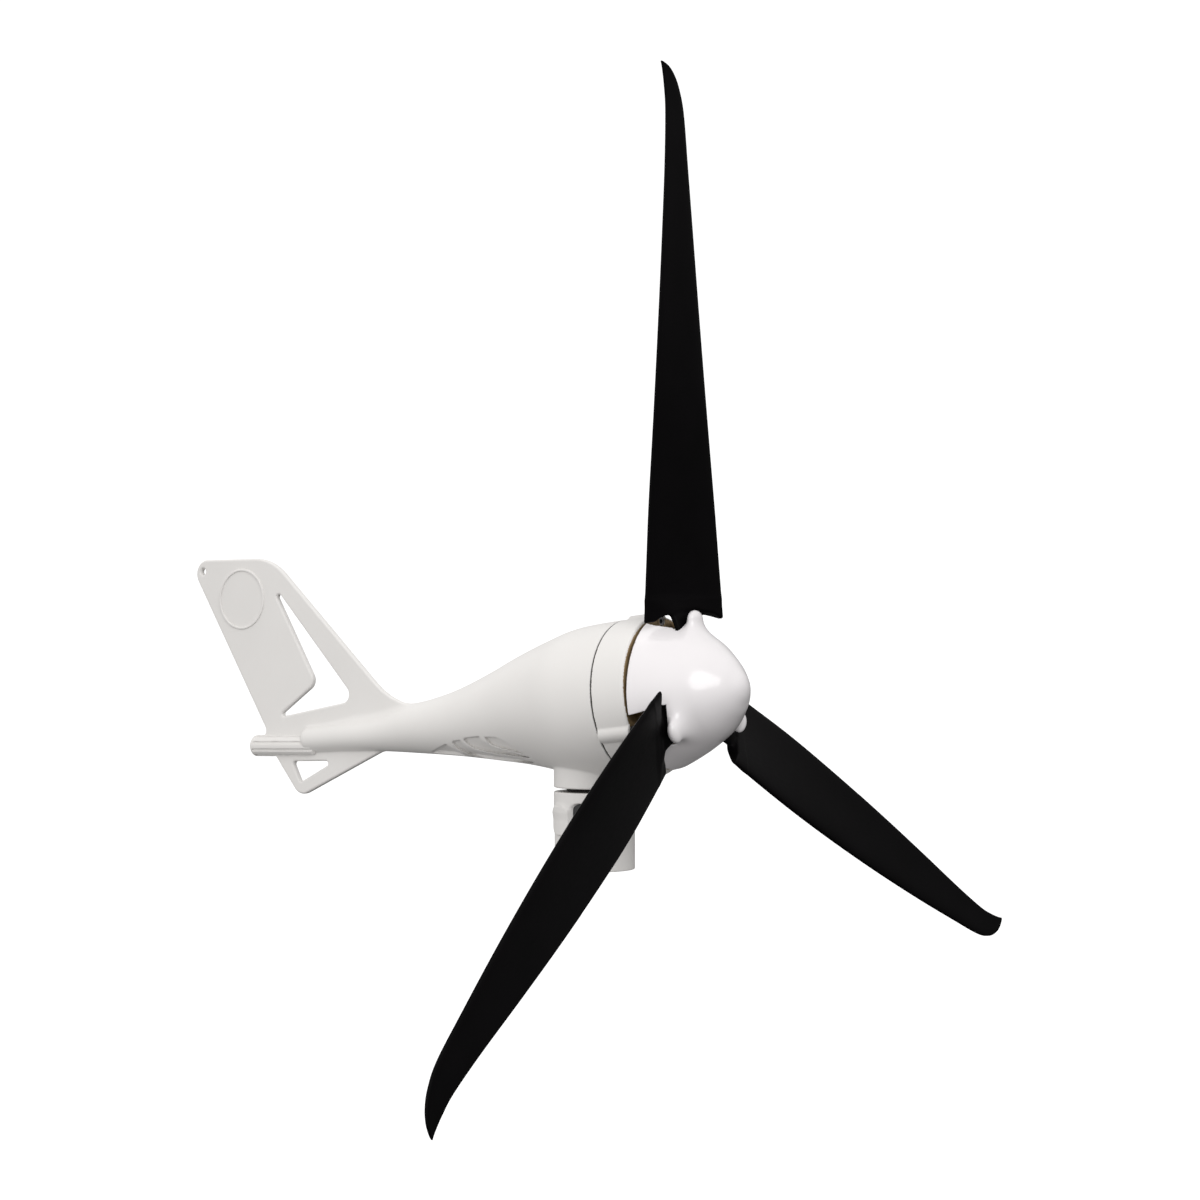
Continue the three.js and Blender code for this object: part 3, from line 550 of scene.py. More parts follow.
def fin_ring(x, y, z):
    """A plain raised ring on both faces of the fin."""
    radius = np.hypot(y - FIN_RING["y"], z - FIN_RING["z"])
    middle, half = (FIN_RING["outer"] + FIN_RING["inner"]) / 2, (FIN_RING["outer"] - FIN_RING["inner"]) / 2
    return slab(x, FIN_THICKNESS + 2 * FIN_RING["proud"], np.abs(radius - middle) - half, 0.9)


# ---------------------------------------------------------------- face plate

SCREW_CIRCLE = 70.0
SCREW_TURN = math.radians(3)
SCREW_SEAT = 5.5  # how deep the screw heads sit below the plate's front
SCREW_BOSS, SCREW_WELL, SCREW_HOLE = 8.5, 4.9, 2.6  # radii
# The relief at the bottom of the face plate's front edge; "half" is along the rim.
DRAIN = {"angle": math.radians(12), "half": 52.0, "back": 66.0, "radius": 70.2}

FACE_SECTION = [
    (FACE_BACK, STATOR_BAY), (FACE_BACK, BODY_RADIUS), (FACE_FRONT - 2, BODY_RADIUS - 0.3),
    (FACE_FRONT - 0.6, BODY_RADIUS - 1), (FACE_FRONT, BODY_RADIUS - 2.2), (FACE_FRONT, 28), (96, 27),
    (96, 14.5), (93, 14.5), (93, 23.8), (78, 23.8), (78, 58), (STACK_FRONT, 58),
    (STACK_FRONT, STATOR_BAY),
]
face_profile = Outline(mirrored(FACE_SECTION))


def nearest_third(x, h, turn=0.0):
    """Across (t) and out (r) distances for the nearest of three radii, the first turned from the top."""
    angle = np.arctan2(x, h) - turn
    angle = angle - BLADE_STEP * np.round(angle / BLADE_STEP)
    radius = np.hypot(x, h)
    return radius * np.sin(angle), radius * np.cos(angle)


def face_plate(x, y, z):
    """The cast ring in front of the body, with a half-round boss for each of its screws."""
    s, h = to_axis(x, y, z)
    radius = np.hypot(x, h)
    t, r = nearest_third(x, h, SCREW_TURN)
    from_screw = np.hypot(t, r - SCREW_CIRCLE)
    boss = rod(from_screw - SCREW_BOSS, s, FACE_BACK, FACE_FRONT, 1)
    bay = rod(radius - STATOR_BAY, s, FACE_BACK - 9, STACK_FRONT)
    boss = without(boss, bay)
    plate = union(face_profile(s, radius), boss, 1.2)
    well = rod(from_screw - SCREW_WELL, s, FACE_FRONT - SCREW_SEAT, FACE_FRONT + 9)
    hole = union(from_screw - SCREW_HOLE, well)
    plate = both(plate, FACE_BACK - s, 0.3)
    around_drain = np.abs(np.arctan2(x, -h) - DRAIN["angle"]) * BODY_RADIUS - DRAIN["half"]
    drain = both(both(DRAIN["back"] - s, around_drain, 4), DRAIN["radius"] - radius, 2)
    return without(without(plate, hole, 0.5), drain, 1.5)


# ---------------------------------------------------------------- blades

FOOT = {"half": 18.0, "low": 107.0, "high": 115.0, "inner": 30.0, "outer": 52.6}
BOLT_OFFSET = 9.0  # of the two bolts from the middle of the foot
BOLT_RADIUS = 45.0  # of the bolts' circle about the rotor axis
BOLT_HOLE = 2.8
BLADE_MEAN_S = 111.0
CONING = 0.0945
ROOT_PITCH = math.radians(19)
EDGE_RADIUS = 0.6
# Thickness and camber as parts of half the chord, and how much thicker the leading half is.
THICKNESS, CAMBER, FORWARD_BULK = 0.11, 0.08, 0.35
# The blade's scalloped inner edge: across, radius, corner radius. Inside it there is no skin.
ROOT_EDGE = [
    (-60, 20),
    (60, 20),
    (60, 67.2),
    (38, 67.6, 2),
    (27, 73, 8),
    (16, 75),
    (8, 78),
    (-14, 78),
    (-26, 73, 8),
    (-35, 66.8, 6),
    (-60, 64.4),
]
# Blade neck: radius, half width, half thickness, slope.
NECK_STATIONS = [
    (52, 18, 4, 0),
    (60, 18, 4, 0),
    (68, 18.5, 4.2, 0.12),
    (76, 20, 4, 0.24),
    (86, 22, 2.5, 0.33),
    (98, 22, 1, 0.33),
]
NECK_START = 40.0
NECK_END = 98.0

blade_table = spline_points(BLADE_STATIONS, 6)
neck_table = np.array(NECK_STATIONS, float)
root_outline = Outline(rounded(ROOT_EDGE))


def blade_edges(r):
    """Trailing and leading edge at a radius."""
    trailing = np.interp(r, blade_table[:, 0], blade_table[:, 1])
    leading = np.interp(r, blade_table[:, 0], blade_table[:, 2])
    return trailing + EDGE_RADIUS, leading - EDGE_RADIUS


def mean_s(t, r):
    """s of the blade's mean line, which is pitched about the middle of its chord."""
    trailing, leading = blade_edges(r)
    pitch = ROOT_PITCH * np.clip((ROTOR_RADIUS - r) / (ROTOR_RADIUS - ROOT_RADIUS), 0, 1.1) ** 2
    return BLADE_MEAN_S + CONING * (r - ROOT_RADIUS) + (t - (trailing + leading) / 2) * np.tan(pitch)


def blade_neck(t, s, r):
    """The rounded bar between the foot and the skin; it twists and thins outwards."""
    half, thick, slant = (np.interp(r, neck_table[:, 0], neck_table[:, i]) for i in (1, 2, 3))
    middle = BLADE_MEAN_S + CONING * np.maximum(0, r - ROOT_RADIUS) - 0.015 * np.maximum(0, r - 52)
    u, v = np.abs(t) / half, np.abs(s - middle - t * slant) / thick
    return ((u**3.3 + v**3.3) ** (1 / 3.3) - 1) * thick


def blade(t, s, r):
    """One blade, upright: its cambered skin, the neck that carries it and the bolted foot."""
    trailing, leading = blade_edges(r)
    half_chord = (leading - trailing) / 2
    x = (t - (trailing + leading) / 2) / half_chord
    inner = np.clip(1 - x * x, 0, 1)
    thick = (THICKNESS * half_chord + 0.5) * np.sqrt(inner) * (1 + FORWARD_BULK * np.clip(x, -1, 1))
    off = s - mean_s(t, r) + CAMBER * half_chord * inner
    past = np.maximum(np.abs(x) - 1, 0) * half_chord
    skin = np.where(past > 0, np.hypot(past, off), np.abs(off) - thick) - EDGE_RADIUS
    skin = both(skin, r - ROTOR_RADIUS, 0.8)
    skin = without(skin, root_outline(t, r), 2.4)
    neck = both(both(blade_neck(t, s, r), r - NECK_END, 3), NECK_START - r)
    neck_fillet = 0.5 + 4.5 * np.clip((NECK_END - r) / 12, 0, 1)
    foot_middle, foot_reach = (FOOT["outer"] + FOOT["inner"]) / 2, (FOOT["outer"] - FOOT["inner"]) / 2
    foot_across = np.maximum(np.abs(t) - FOOT["half"], np.abs(r - foot_middle) - foot_reach)
    foot = slab(s - BLADE_MEAN_S, FOOT["high"] - FOOT["low"], foot_across, 1)
    made = union(union(skin, neck, neck_fillet), foot, 2)
    return without(made, np.hypot(np.abs(t) - BOLT_OFFSET, r - BOLT_RADIUS) - BOLT_HOLE, 0.4)


def blade_mesh():
    """One blade standing upright in the drive frame: X is -t, Y is s and Z is r."""
    across = np.linspace(-0.05, 1.05, int(78 / QUICK))
    through = np.linspace(-18, 18, int(56 / QUICK))
    root = np.arange(26, 120, 1.1 * QUICK)
    span = np.arange(120, ROTOR_RADIUS - 24, 3.2 * QUICK)
    tip = np.linspace(ROTOR_RADIUS - 24, ROTOR_RADIUS + 3, int(28 / QUICK))
    out = np.concatenate([root, span, tip])
    axes = (across, through, out)

    def placed(a, n, r):
        trailing, leading = blade_edges(r)
        t = trailing + a * (leading - trailing)
        return t, mean_s(t, r) + n, r

    grid = np.meshgrid(*axes, indexing="ij")
    values = blade(*placed(*[g.ravel() for g in grid])).reshape(grid[0].shape)
    points, quads = net(values)
    steps = [np.interp(points[:, i], np.arange(len(axes[i])), axes[i]) for i in range(3)]
    points = np.stack(placed(*steps), 1)
    points = settle(blade, points, 0.5, 3)
    _, gradient = slope(blade, points)
    flip = np.array([-1, 1, 1])
    mesh = mesh_of("blade", points * flip, quads[:, ::-1])
    gradient = gradient * flip
    length = np.linalg.norm(gradient, axis=1, keepdims=True)
    mesh.normals_split_custom_set_from_vertices(gradient / np.maximum(length, 1e-6))
    return mesh


# ---------------------------------------------------------------- nose cone

HORN = {"t": -3.5, "s": 123.0, "half": 10.5, "thick": 5.6, "from": 67.0, "tip": 8.3, "flare": 11.0}
NOSE_LOBES = 2.0  # how much fuller the cone is at the blades, and slimmer between them
NOSE_POST = {"out": 34.0, "radius": 3.5, "from": 107.0, "to": 160.0}
NECK_CLEARANCE = 0.6
# The opening behind each neck: across, s, corner radius.
NOTCH = [(-28, 70), (20.5, 70), (19.5, 117), (-8, 116), (-20, 106, 4), (-26, 92, 6)]

dome_spline = spline_points([(-NOSE_PROFILE[1][0], NOSE_PROFILE[1][1])] + NOSE_PROFILE, 12)[12:]
dome_points = [(s, r) for r, s in dome_spline]
dome_profile = Outline(mirrored(dome_points + [(70, 74.9)]))
notch_outline = Outline(rounded(NOTCH))


def horn(t, s, r):
    """The rounded finger that covers the front of a blade's neck."""
    u = (t - HORN["t"]) / HORN["half"]
    v = (s - HORN["s"]) / HORN["thick"]
    w = np.maximum(r - HORN["from"], 0) / HORN["tip"]
    return np.maximum((np.sqrt(u * u + v * v + w * w) - 1) * HORN["thick"], 40 - r)


def nose_cone(x, y, z):
    """A thin dome with a finger over each blade's neck, a notch behind it, and posts inside."""
    s, h = to_axis(x, y, z)
    fullness = NOSE_LOBES * np.clip((NOSE_PROFILE[0][1] - s) / 30, 0, 1)
    dome = dome_profile(s, np.hypot(x, h) - fullness * np.cos(3 * np.arctan2(x, h)))
    t, r = nearest_third(x, h)
    outer = union(dome, horn(t, s, r), HORN["flare"])
    shell = without(outer, dome + NOSE_WALL, 0.4)
    shell = both(shell, NOSE_RIM - s, 1)
    shell = without(shell, blade_neck(t, s, r) - NECK_CLEARANCE, 0.7)
    shell = without(shell, both(notch_outline(t, s), 45 - r), 0.9)
    across, out = nearest_third(x, h, BLADE_STEP / 2)
    from_post = np.hypot(across, out - NOSE_POST["out"]) - NOSE_POST["radius"]
    post = both(rod(from_post, s, NOSE_POST["from"], NOSE_POST["to"]), dome + NOSE_WALL / 2)
    return union(shell, post, 1)


# ---------------------------------------------------------------- pole collar

# The clamp: a slit through the collar's wall, and across it two screws in a pocket on its left.
CLAMP_ANGLE = math.radians(227)
CLAMP_RADIUS = 31.5
CLAMP_MIDDLE = 52.0
CLAMP_SCREWS = {"lower": 46.0, "upper": 58.0}
CLAMP_HOLE = 3.3
CLAMP_SLIT = {"width": 2.5, "inner": 11.5, "top": 62.0}
CLAMP_POCKET = {"radius": 6.2, "half": 12.2, "floor": -11.0}
LOBE = {"angle": math.radians(156), "half": 14.0, "low": 33.5, "high": 60.0, "corner": 10.0, "proud": 1.3}
# A black cap sunk in the clamp's pocket: painted shade, standing in for the shadow inside the pocket.
PAINTED_SHADE_PLUG = {"radius": 5.9, "half": 11.9, "floor": -18.0, "sunk": 1.8}

SLEEVE_SECTION = [
    (0, POLE_RADIUS), (0, COLLAR_RADIUS - 1.4), (0.6, COLLAR_RADIUS - 0.8), (36, COLLAR_RADIUS - 0.8),
    (37, COLLAR_RADIUS), (COLLAR_TOP, COLLAR_RADIUS), (COLLAR_TOP, 15), (SOCKET_DEPTH, 15),
    (SOCKET_DEPTH, POLE_RADIUS),
]
sleeve_profile = Outline(SLEEVE_SECTION)


def turned_by(angle, x, y):
    """Distances along a direction at that angle about the yaw axis, and square to it."""
    c, n = math.cos(angle), math.sin(angle)
    return c * x + n * y, c * y - n * x


def stadium(u, v, radius, half_length):
    """Distance to a slot with round ends."""
    return np.hypot(u, np.maximum(np.abs(v) - half_length + radius, 0)) - radius


def pole_collar(x, y, z):
    """The split sleeve that is clamped on the pole."""
    radius = np.hypot(x, y)
    sleeve = sleeve_profile(z, radius)
    sleeve = both(sleeve, radius - COLLAR_RADIUS + 0.6 - np.clip(COLLAR_TOP - z, 0, 9), 0.8)
    out, side = turned_by(LOBE["angle"], x, y)
    arc = np.arctan2(side, out) * COLLAR_RADIUS
    middle, height = (LOBE["high"] + LOBE["low"]) / 2, LOBE["high"] - LOBE["low"]
    face = slab(z - middle, height, np.abs(arc) - LOBE["half"], LOBE["corner"])
    lobe = both(face, np.abs(radius - COLLAR_RADIUS) - LOBE["proud"], 0.8)
    sleeve = union(sleeve, lobe, 0.8 + 5 * np.clip((z - middle) / 8, 0, 1))
    out, side = turned_by(CLAMP_ANGLE, x, y)
    slit = np.maximum(np.abs(side) - CLAMP_SLIT["width"] / 2, CLAMP_SLIT["inner"] - out)
    slit = np.maximum(slit, z - CLAMP_SLIT["top"])
    pocket = stadium(out - CLAMP_RADIUS, z - CLAMP_MIDDLE, CLAMP_POCKET["radius"], CLAMP_POCKET["half"])
    pocket = both(pocket, side - CLAMP_POCKET["floor"], 1.2)
    sleeve = without(without(sleeve, pocket, 1.2), slit, 0.5)
    for height in CLAMP_SCREWS.values():
        hole = np.hypot(out - CLAMP_RADIUS, z - height) - CLAMP_HOLE
        sleeve = without(sleeve, np.maximum(hole, np.abs(side) - 20))
    return sleeve


def painted_shade_plug(x, y, z):
    """The black cap that closes the clamp's pocket over the two screw heads: painted shade, a dark fill
    standing in for the shadow inside the pocket.
    """
    out, side = turned_by(CLAMP_ANGLE, x, y)
    face = stadium(out - CLAMP_RADIUS, z - CLAMP_MIDDLE, PAINTED_SHADE_PLUG["radius"], PAINTED_SHADE_PLUG["half"])
    cap = both(face, np.hypot(x, y) - COLLAR_RADIUS + PAINTED_SHADE_PLUG["sunk"], 0.8)
    return both(cap, side - PAINTED_SHADE_PLUG["floor"], 0.3)


# ---------------------------------------------------------------- small parts


def turned(name, profile, sides=96):
    """A closed turned shape about Z from points (radius, height), smooth where the profile is."""
    profile = np.asarray(profile, float)
    angles = np.arange(sides) * 2 * math.pi / sides
    ring = np.stack([np.cos(angles), np.sin(angles)], 1)
    points = np.concatenate([np.column_stack([r * ring, np.full(sides, z)]) for r, z in profile])
    quads = []
    for i in range(len(profile)):
        a, b = i * sides, ((i + 1) % len(profile)) * sides
        k = np.arange(sides)
        n = (k + 1) % sides
        quads.append(np.stack([a + k, a + n, b + n, b + k], 1))
    mesh = mesh_of(name, points, np.vstack(quads))
    mesh.set_sharp_from_angle(angle=math.radians(35))
    return mesh


def eased(corners, edge=0.4):
    """A turned profile with its corners eased by small arcs."""
    return rounded([(*corner, edge) for corner in corners], math.radians(30))


def hexagon(x, y, across):
    """Distance to a hexagon of that width across its flats."""
    x, y = np.abs(x), np.abs(y)
    return np.maximum(x * math.cos(math.pi / 6) + y * 0.5, y) - across / 2


def cap_screw(shank, length, head, height):
    """A socket-head screw along Z: its seat is at z 0 and its head is above."""

    def field(x, y, z):
        radius = np.hypot(x, y)
        thread = 0.12 * np.cos(2 * math.pi * (z / 0.9 - np.arctan2(y, x) / (2 * math.pi)))
        rod_part = rod(radius - shank + 0.15 - thread, z, -length, 0.2)
        top = rod(radius - head, z, 0, height, 0.5)
        socket = np.maximum(hexagon(x, y, head * 1.05), height * 0.45 - z)
        return without(union(rod_part, top, 0.2), socket, 0.25)

    reach = head + 0.8
    return moulded("cap_screw", field, (-reach, -reach, -length - 1), (reach, reach, height + 1), 0.4)


def flange_nut(x, y, z):
    """The hub's hexagon nut about Z, standing on z 0."""
    radius = np.hypot(x, y)
    body = np.maximum(hexagon(x, y, 19), np.abs(z - 4.5) - 4.5)
    chamfer = (radius - 10.6 + np.maximum(np.abs(z - 4.5) - 3.4, 0)) * 0.7
    return without(both(body, chamfer, 0.3), radius - 7.3, 0.3)


# ---------------------------------------------------------------- materials


def set_up(made, settings):
    """Sets a shader node's sockets and properties."""
    for name, value in settings.items():
        if name in made.inputs:
            made.inputs[name].default_value = value
        else:
            setattr(made, name, value)
    return made


def node(tree, kind, **settings):
    return set_up(tree.nodes.new(kind), settings)


def noise(tree, where, scale, detail=2.0, stretch=(1, 1, 1)):
    """A noise pattern in the piece's own metres; "stretch" is larger where the grain is finer."""
    mapping = node(tree, "ShaderNodeMapping", Scale=stretch)
    tree.links.new(where, mapping.inputs["Vector"])
    made = node(tree, "ShaderNodeTexNoise", Scale=scale, Detail=detail)
    tree.links.new(mapping.outputs["Vector"], made.inputs["Vector"])
    return made.outputs["Fac"]


def spread(tree, value, low, high):
    """The middle of a noise pattern, stretched to run from low to high."""
    ends = {"From Min": 0.3, "From Max": 0.7, "To Min": low, "To Max": high}
    made = node(tree, "ShaderNodeMapRange", **ends)
    tree.links.new(value, made.inputs["Value"])
    return made.outputs["Result"]


def finish(
    name, light, dark, rough, patch, grain, relief, metallic=0.0, specular=0.5, coat=0.0, stretch=(1, 1, 1)
):
    """A procedural finish.

    light, dark: the two colours that broad patches "patch" millimetres across drift between.
    rough: the lowest and highest roughness, which follow a grain "grain" millimetres across.
    relief: the depth in millimetres of that grain.
    """
    material = bpy.data.materials.new(name)
    material.use_nodes = True
    tree = material.node_tree
    shader = tree.nodes["Principled BSDF"]
    surface = {"Metallic": metallic, "Specular IOR Level": specular, "Coat Weight": coat}
    set_up(shader, surface | {"Coat Roughness": 0.08})
    where = node(tree, "ShaderNodeTexCoord").outputs["Object"]
    patches = noise(tree, where, 1 / (patch * MM), 4)
    fine = noise(tree, where, 1 / (grain * MM), 2, stretch)
    colour = node(tree, "ShaderNodeMix", data_type="RGBA")
    colour.inputs[6].default_value = (*dark, 1)
    colour.inputs[7].default_value = (*light, 1)
    tree.links.new(spread(tree, patches, 0, 1), colour.inputs["Factor"])
    tree.links.new(colour.outputs[2], shader.inputs["Base Color"])
    tree.links.new(spread(tree, fine, *rough), shader.inputs["Roughness"])
    bump = node(tree, "ShaderNodeBump", Strength=1.0, Distance=relief * MM)
    tree.links.new(fine, bump.inputs["Height"])
    tree.links.new(bump.outputs["Normal"], shader.inputs["Normal"])
    return material


FINISHES = {
    "casting_paint": dict(
        light=(0.79, 0.775, 0.755), dark=(0.76, 0.745, 0.725), rough=(0.34, 0.46), patch=90, grain=1.6,
        relief=0.02,
    ),
    "nose_plastic": dict(
        light=(0.85, 0.825, 0.835), dark=(0.83, 0.805, 0.815), rough=(0.17, 0.22), patch=60, grain=4,
        relief=0.004, coat=0.3,
    ),
    "blade_composite": dict(
        light=(0.0026, 0.0022, 0.0026), dark=(0.0016, 0.0014, 0.0016), rough=(0.38, 0.45), patch=50,
        grain=1.2, relief=0.003, specular=0.035, stretch=(1, 1, 0.15),
    ),
    "steel": dict(
        light=(0.5, 0.5, 0.51), dark=(0.36, 0.36, 0.37), rough=(0.22, 0.4), patch=8, grain=0.6, relief=0.008,
        metallic=1.0,
    ),
    "chromate": dict(
        light=(0.5, 0.37, 0.2), dark=(0.36, 0.25, 0.13), rough=(0.3, 0.45), patch=10, grain=0.8, relief=0.01,
        metallic=0.7,
    ),
    # Near-black steel for the clamp screws: painted shade, darkening the clamp's pocket where there is only
    # shadow.
    "painted_shade_black_steel": dict(
        light=(0.035, 0.032, 0.03), dark=(0.02, 0.018, 0.017), rough=(0.4, 0.6), patch=6, grain=0.6,
        relief=0.01,
    ),
    "hub_aluminium": dict(
        light=(0.68, 0.67, 0.64), dark=(0.5, 0.49, 0.46), rough=(0.3, 0.5), patch=20, grain=0.8, relief=0.01,
        metallic=1.0,
    ),
    "bearing_steel": dict(
        light=(0.62, 0.62, 0.63), dark=(0.5, 0.5, 0.51), rough=(0.12, 0.22), patch=10, grain=0.5,
        relief=0.003, metallic=1.0,
    ),
    "lamination": dict(
        light=(0.16, 0.165, 0.18), dark=(0.08, 0.085, 0.1), rough=(0.45, 0.65), patch=12, grain=0.9,
        relief=0.03, metallic=0.6,
    ),
    "magnet_plating": dict(
        light=(0.55, 0.54, 0.52), dark=(0.42, 0.41, 0.4), rough=(0.2, 0.34), patch=10, grain=0.7,
        relief=0.008, metallic=1.0,
    ),
    "copper": dict(
        light=(0.68, 0.28, 0.13), dark=(0.42, 0.15, 0.06), rough=(0.3, 0.45), patch=10, grain=0.9,
        relief=0.03, metallic=1.0,
    ),
    "rubber": dict(
        light=(0.03, 0.026, 0.022), dark=(0.016, 0.014, 0.012), rough=(0.6, 0.8), patch=20, grain=1,
        relief=0.02,
    ),
    "circuit_board": dict(
        light=(0.02, 0.12, 0.045), dark=(0.012, 0.07, 0.03), rough=(0.3, 0.45), patch=6, grain=1.2,
        relief=0.02,
    ),
    "black_plastic": dict(
        light=(0.02, 0.02, 0.022), dark=(0.012, 0.012, 0.013), rough=(0.4, 0.55), patch=20, grain=0.8,
        relief=0.01,
    ),
    "carbon": dict(
        light=(0.03, 0.03, 0.032), dark=(0.015, 0.015, 0.016), rough=(0.5, 0.7), patch=3, grain=0.5,
        relief=0.02, metallic=0.2,
    ),
}

# What the names of the CAD nodes in each material slot hold; every other node is steel.
SLOT_WORDS = {
    "casting_paint": ("pole_collar", "body_casting", "face_plate"),
    "nose_plastic": ("nose_cone",),
    "blade_composite": ("blade_1", "blade_2", "blade_3"),
    "hub_aluminium": ("hub_plate",),
    "bearing_steel": ("bearing_",),
    "lamination": ("stator_core", "rotor_core"),
    "magnet_plating": ("magnet_",),
    "copper": ("stator_winding", "slip_ring_1", "slip_ring_2", "slip_ring_3"),
    "rubber": ("dust_seal", "face_gasket", "shaft_seal"),
    "circuit_board": ("circuit_board",),
    "black_plastic": ("slip_ring_carrier", "rectifier", "capacitor", "brush_holder"),
    "carbon": ("brush_1", "brush_2", "brush_3"),
}


def slot_of(name):
    """The record's material slot of a CAD node."""
    for slot, words in SLOT_WORDS.items():
        if any(word in name for word in words):
            return slot
    return "steel"


finishes = {name: finish(name, **settings) for name, settings in FINISHES.items()}
for name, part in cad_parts.items():
    part.data.materials.clear()
    part.data.materials.append(finishes[slot_of(name)])

# ---------------------------------------------------------------- pieces


def add(name, mesh, slot, body, place=Matrix(), replaces=(), look=None):
    """A piece: its mesh and place, what it is made of, what it rides on and the CAD nodes it stands for."""
    thing = bpy.data.objects.new(name, mesh)
    bpy.context.scene.collection.objects.link(thing)
    if not mesh.materials:
        mesh.materials.append(finishes[look or slot])
    thing.matrix_world = place
    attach(thing, body)
    if replaces:
        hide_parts(*replaces)
    return thing


def drive_frame():
    """Places a mesh made in the drive frame: X towards -X, Y along the rotor axis, Z square to it and up."""
    c, s = math.cos(AXIS_TILT), math.sin(AXIS_TILT)
    axes = Matrix(((-1, 0, 0), (0, -c, s), (0, s, c))).to_4x4()
    return Matrix.Translation((0, 0, AXIS_HEIGHT * MM)) @ axes


def on_drive(angle=0.0, radius=0.0, s=0.0, across=0.0):
    """A place on the drive: at an angle clockwise from the front, with Y still along the rotor axis."""
    turn = Matrix.Rotation(-angle, 4, "Y")
    return drive_frame() @ turn @ Matrix.Translation((-across * MM, s * MM, radius * MM))


# A mesh made along Z, laid along the drive's Y.
ALONG_DRIVE = Matrix.Rotation(-math.pi / 2, 4, "X")


def box_round(x, s_low, s_high, h):
    """Row box around part of the drive: corners (x, s, h)."""
    corners = from_axis(
        np.array([-x, x] * 4), np.repeat([s_low, s_high], 4), np.array([-h, -h, h, h] * 2)
    )
    return corners.min(0) - 2, corners.max(0) + 2


def add_casting():
    mesh = moulded("body_shell", casting, (-79, -56, 45), (79, 541, 312), 1.3)
    add("body_shell", mesh, "casting_paint", "head", replaces=["body_casting"])
    reach = STUB["radius"] + 3
    low = (-reach, STUB["from"] - 2, STUB["z"] - reach - 2)
    high = (reach, STUB["to"] + 2, STUB["z"] + reach)
    add("tail_plug", moulded("tail_plug", tail_stub, low, high, 0.7), "casting_paint", "head")
    reach = FIN_RING["outer"] + 1
    low = (-6, FIN_RING["y"] - reach, FIN_RING["z"] - reach)
    high = (6, FIN_RING["y"] + reach, FIN_RING["z"] + reach)
    add("fin_badge_ring", moulded("fin_badge_ring", fin_ring, low, high, 0.55), "casting_paint", "head")


def bare_front(mesh):
    """Leaves the face plate's front, inside the nose cone, as chromated metal instead of paint."""
    centres = np.empty(len(mesh.polygons) * 3)
    mesh.polygons.foreach_get("center", centres)
    x, y, z = centres.reshape(-1, 3).T / MM
    s, h = to_axis(x, y, z)
    front = (s > FACE_FRONT - 0.3) & (np.hypot(x, h) < BODY_RADIUS - 2.4)
    mesh.materials.append(finishes["casting_paint"])
    mesh.materials.append(finishes["chromate"])
    mesh.polygons.foreach_set("material_index", front.astype(np.int32))


def add_face_plate():
    low, high = box_round(80, FACE_BACK - 2, 99, 80)
    mesh = moulded("face_ring", face_plate, low, high, 1.0)
    bare_front(mesh)
    add("face_ring", mesh, "casting_paint", "head", replaces=["face_plate"])


def add_nose():
    low, high = box_round(80, NOSE_RIM - 3, 175, 80)
    mesh = moulded("nose_shell", nose_cone, low, high, 1.0)
    add("nose_shell", mesh, "nose_plastic", "rotor", replaces=["nose_cone"])


def add_blades():
    mesh = blade_mesh()
    for i in range(3):
        add(
            f"blade_skin_{i + 1}", mesh, "blade_composite", "rotor", on_drive(i * BLADE_STEP),
            replaces=[f"blade_{i + 1}"],
        )


def add_collar():
    mesh = moulded("collar_shell", pole_collar, (-43, -43, -2), (43, 43, 77), 0.8)
    add("collar_shell", mesh, "casting_paint", "pole_mount", replaces=["pole_collar"])
    # The black cap is painted shade: it darkens the clamp's pocket, where there is only shadow.
    plug = moulded("clamp_painted_shade_cap", painted_shade_plug, (-43, -43, 38), (0, 5, 66), 0.6)
    add("clamp_painted_shade_cap", plug, "black_plastic", "pole_mount")


def add_screws():
    blade_screw = cap_screw(2.5, 15, 4.3, 5)
    for blade_index in range(3):
        for side in (-1, 1):
            number = 2 * blade_index + (side + 3) // 2
            place = on_drive(blade_index * BLADE_STEP, BOLT_RADIUS, FOOT["high"] + 0.3, BOLT_OFFSET * side)
            add(
                f"blade_screw_{number}", blade_screw, "steel", "rotor", place @ ALONG_DRIVE,
                replaces=[f"blade_bolt_{number}"],
            )
    face_screw = cap_screw(2.3, 46, 4.4, 4)
    for i in range(3):
        place = on_drive(SCREW_TURN + i * BLADE_STEP, SCREW_CIRCLE, FACE_FRONT - SCREW_SEAT + 0.3)
        add(
            f"plate_screw_{i + 1}", face_screw, "steel", "head", place @ ALONG_DRIVE,
            replaces=[f"face_screw_{i + 1}"],
        )
    # The clamp screws are near black as painted shade, for the shadow inside the clamp's pocket.
    clamp_screw = cap_screw(3, 28, 4.8, 6)
    for level, height in CLAMP_SCREWS.items():
        seat = Vector((CLAMP_RADIUS, CLAMP_POCKET["floor"] - 0.3, height)) * MM
        place = Matrix.Rotation(CLAMP_ANGLE, 4, "Z") @ Matrix.Translation(seat)
        add(
            f"clamp_screw_{level}", clamp_screw, "steel", "pole_mount",
            place @ Matrix.Rotation(math.pi / 2, 4, "X"), replaces=[f"clamp_bolt_{level}"],
            look="painted_shade_black_steel",
        )


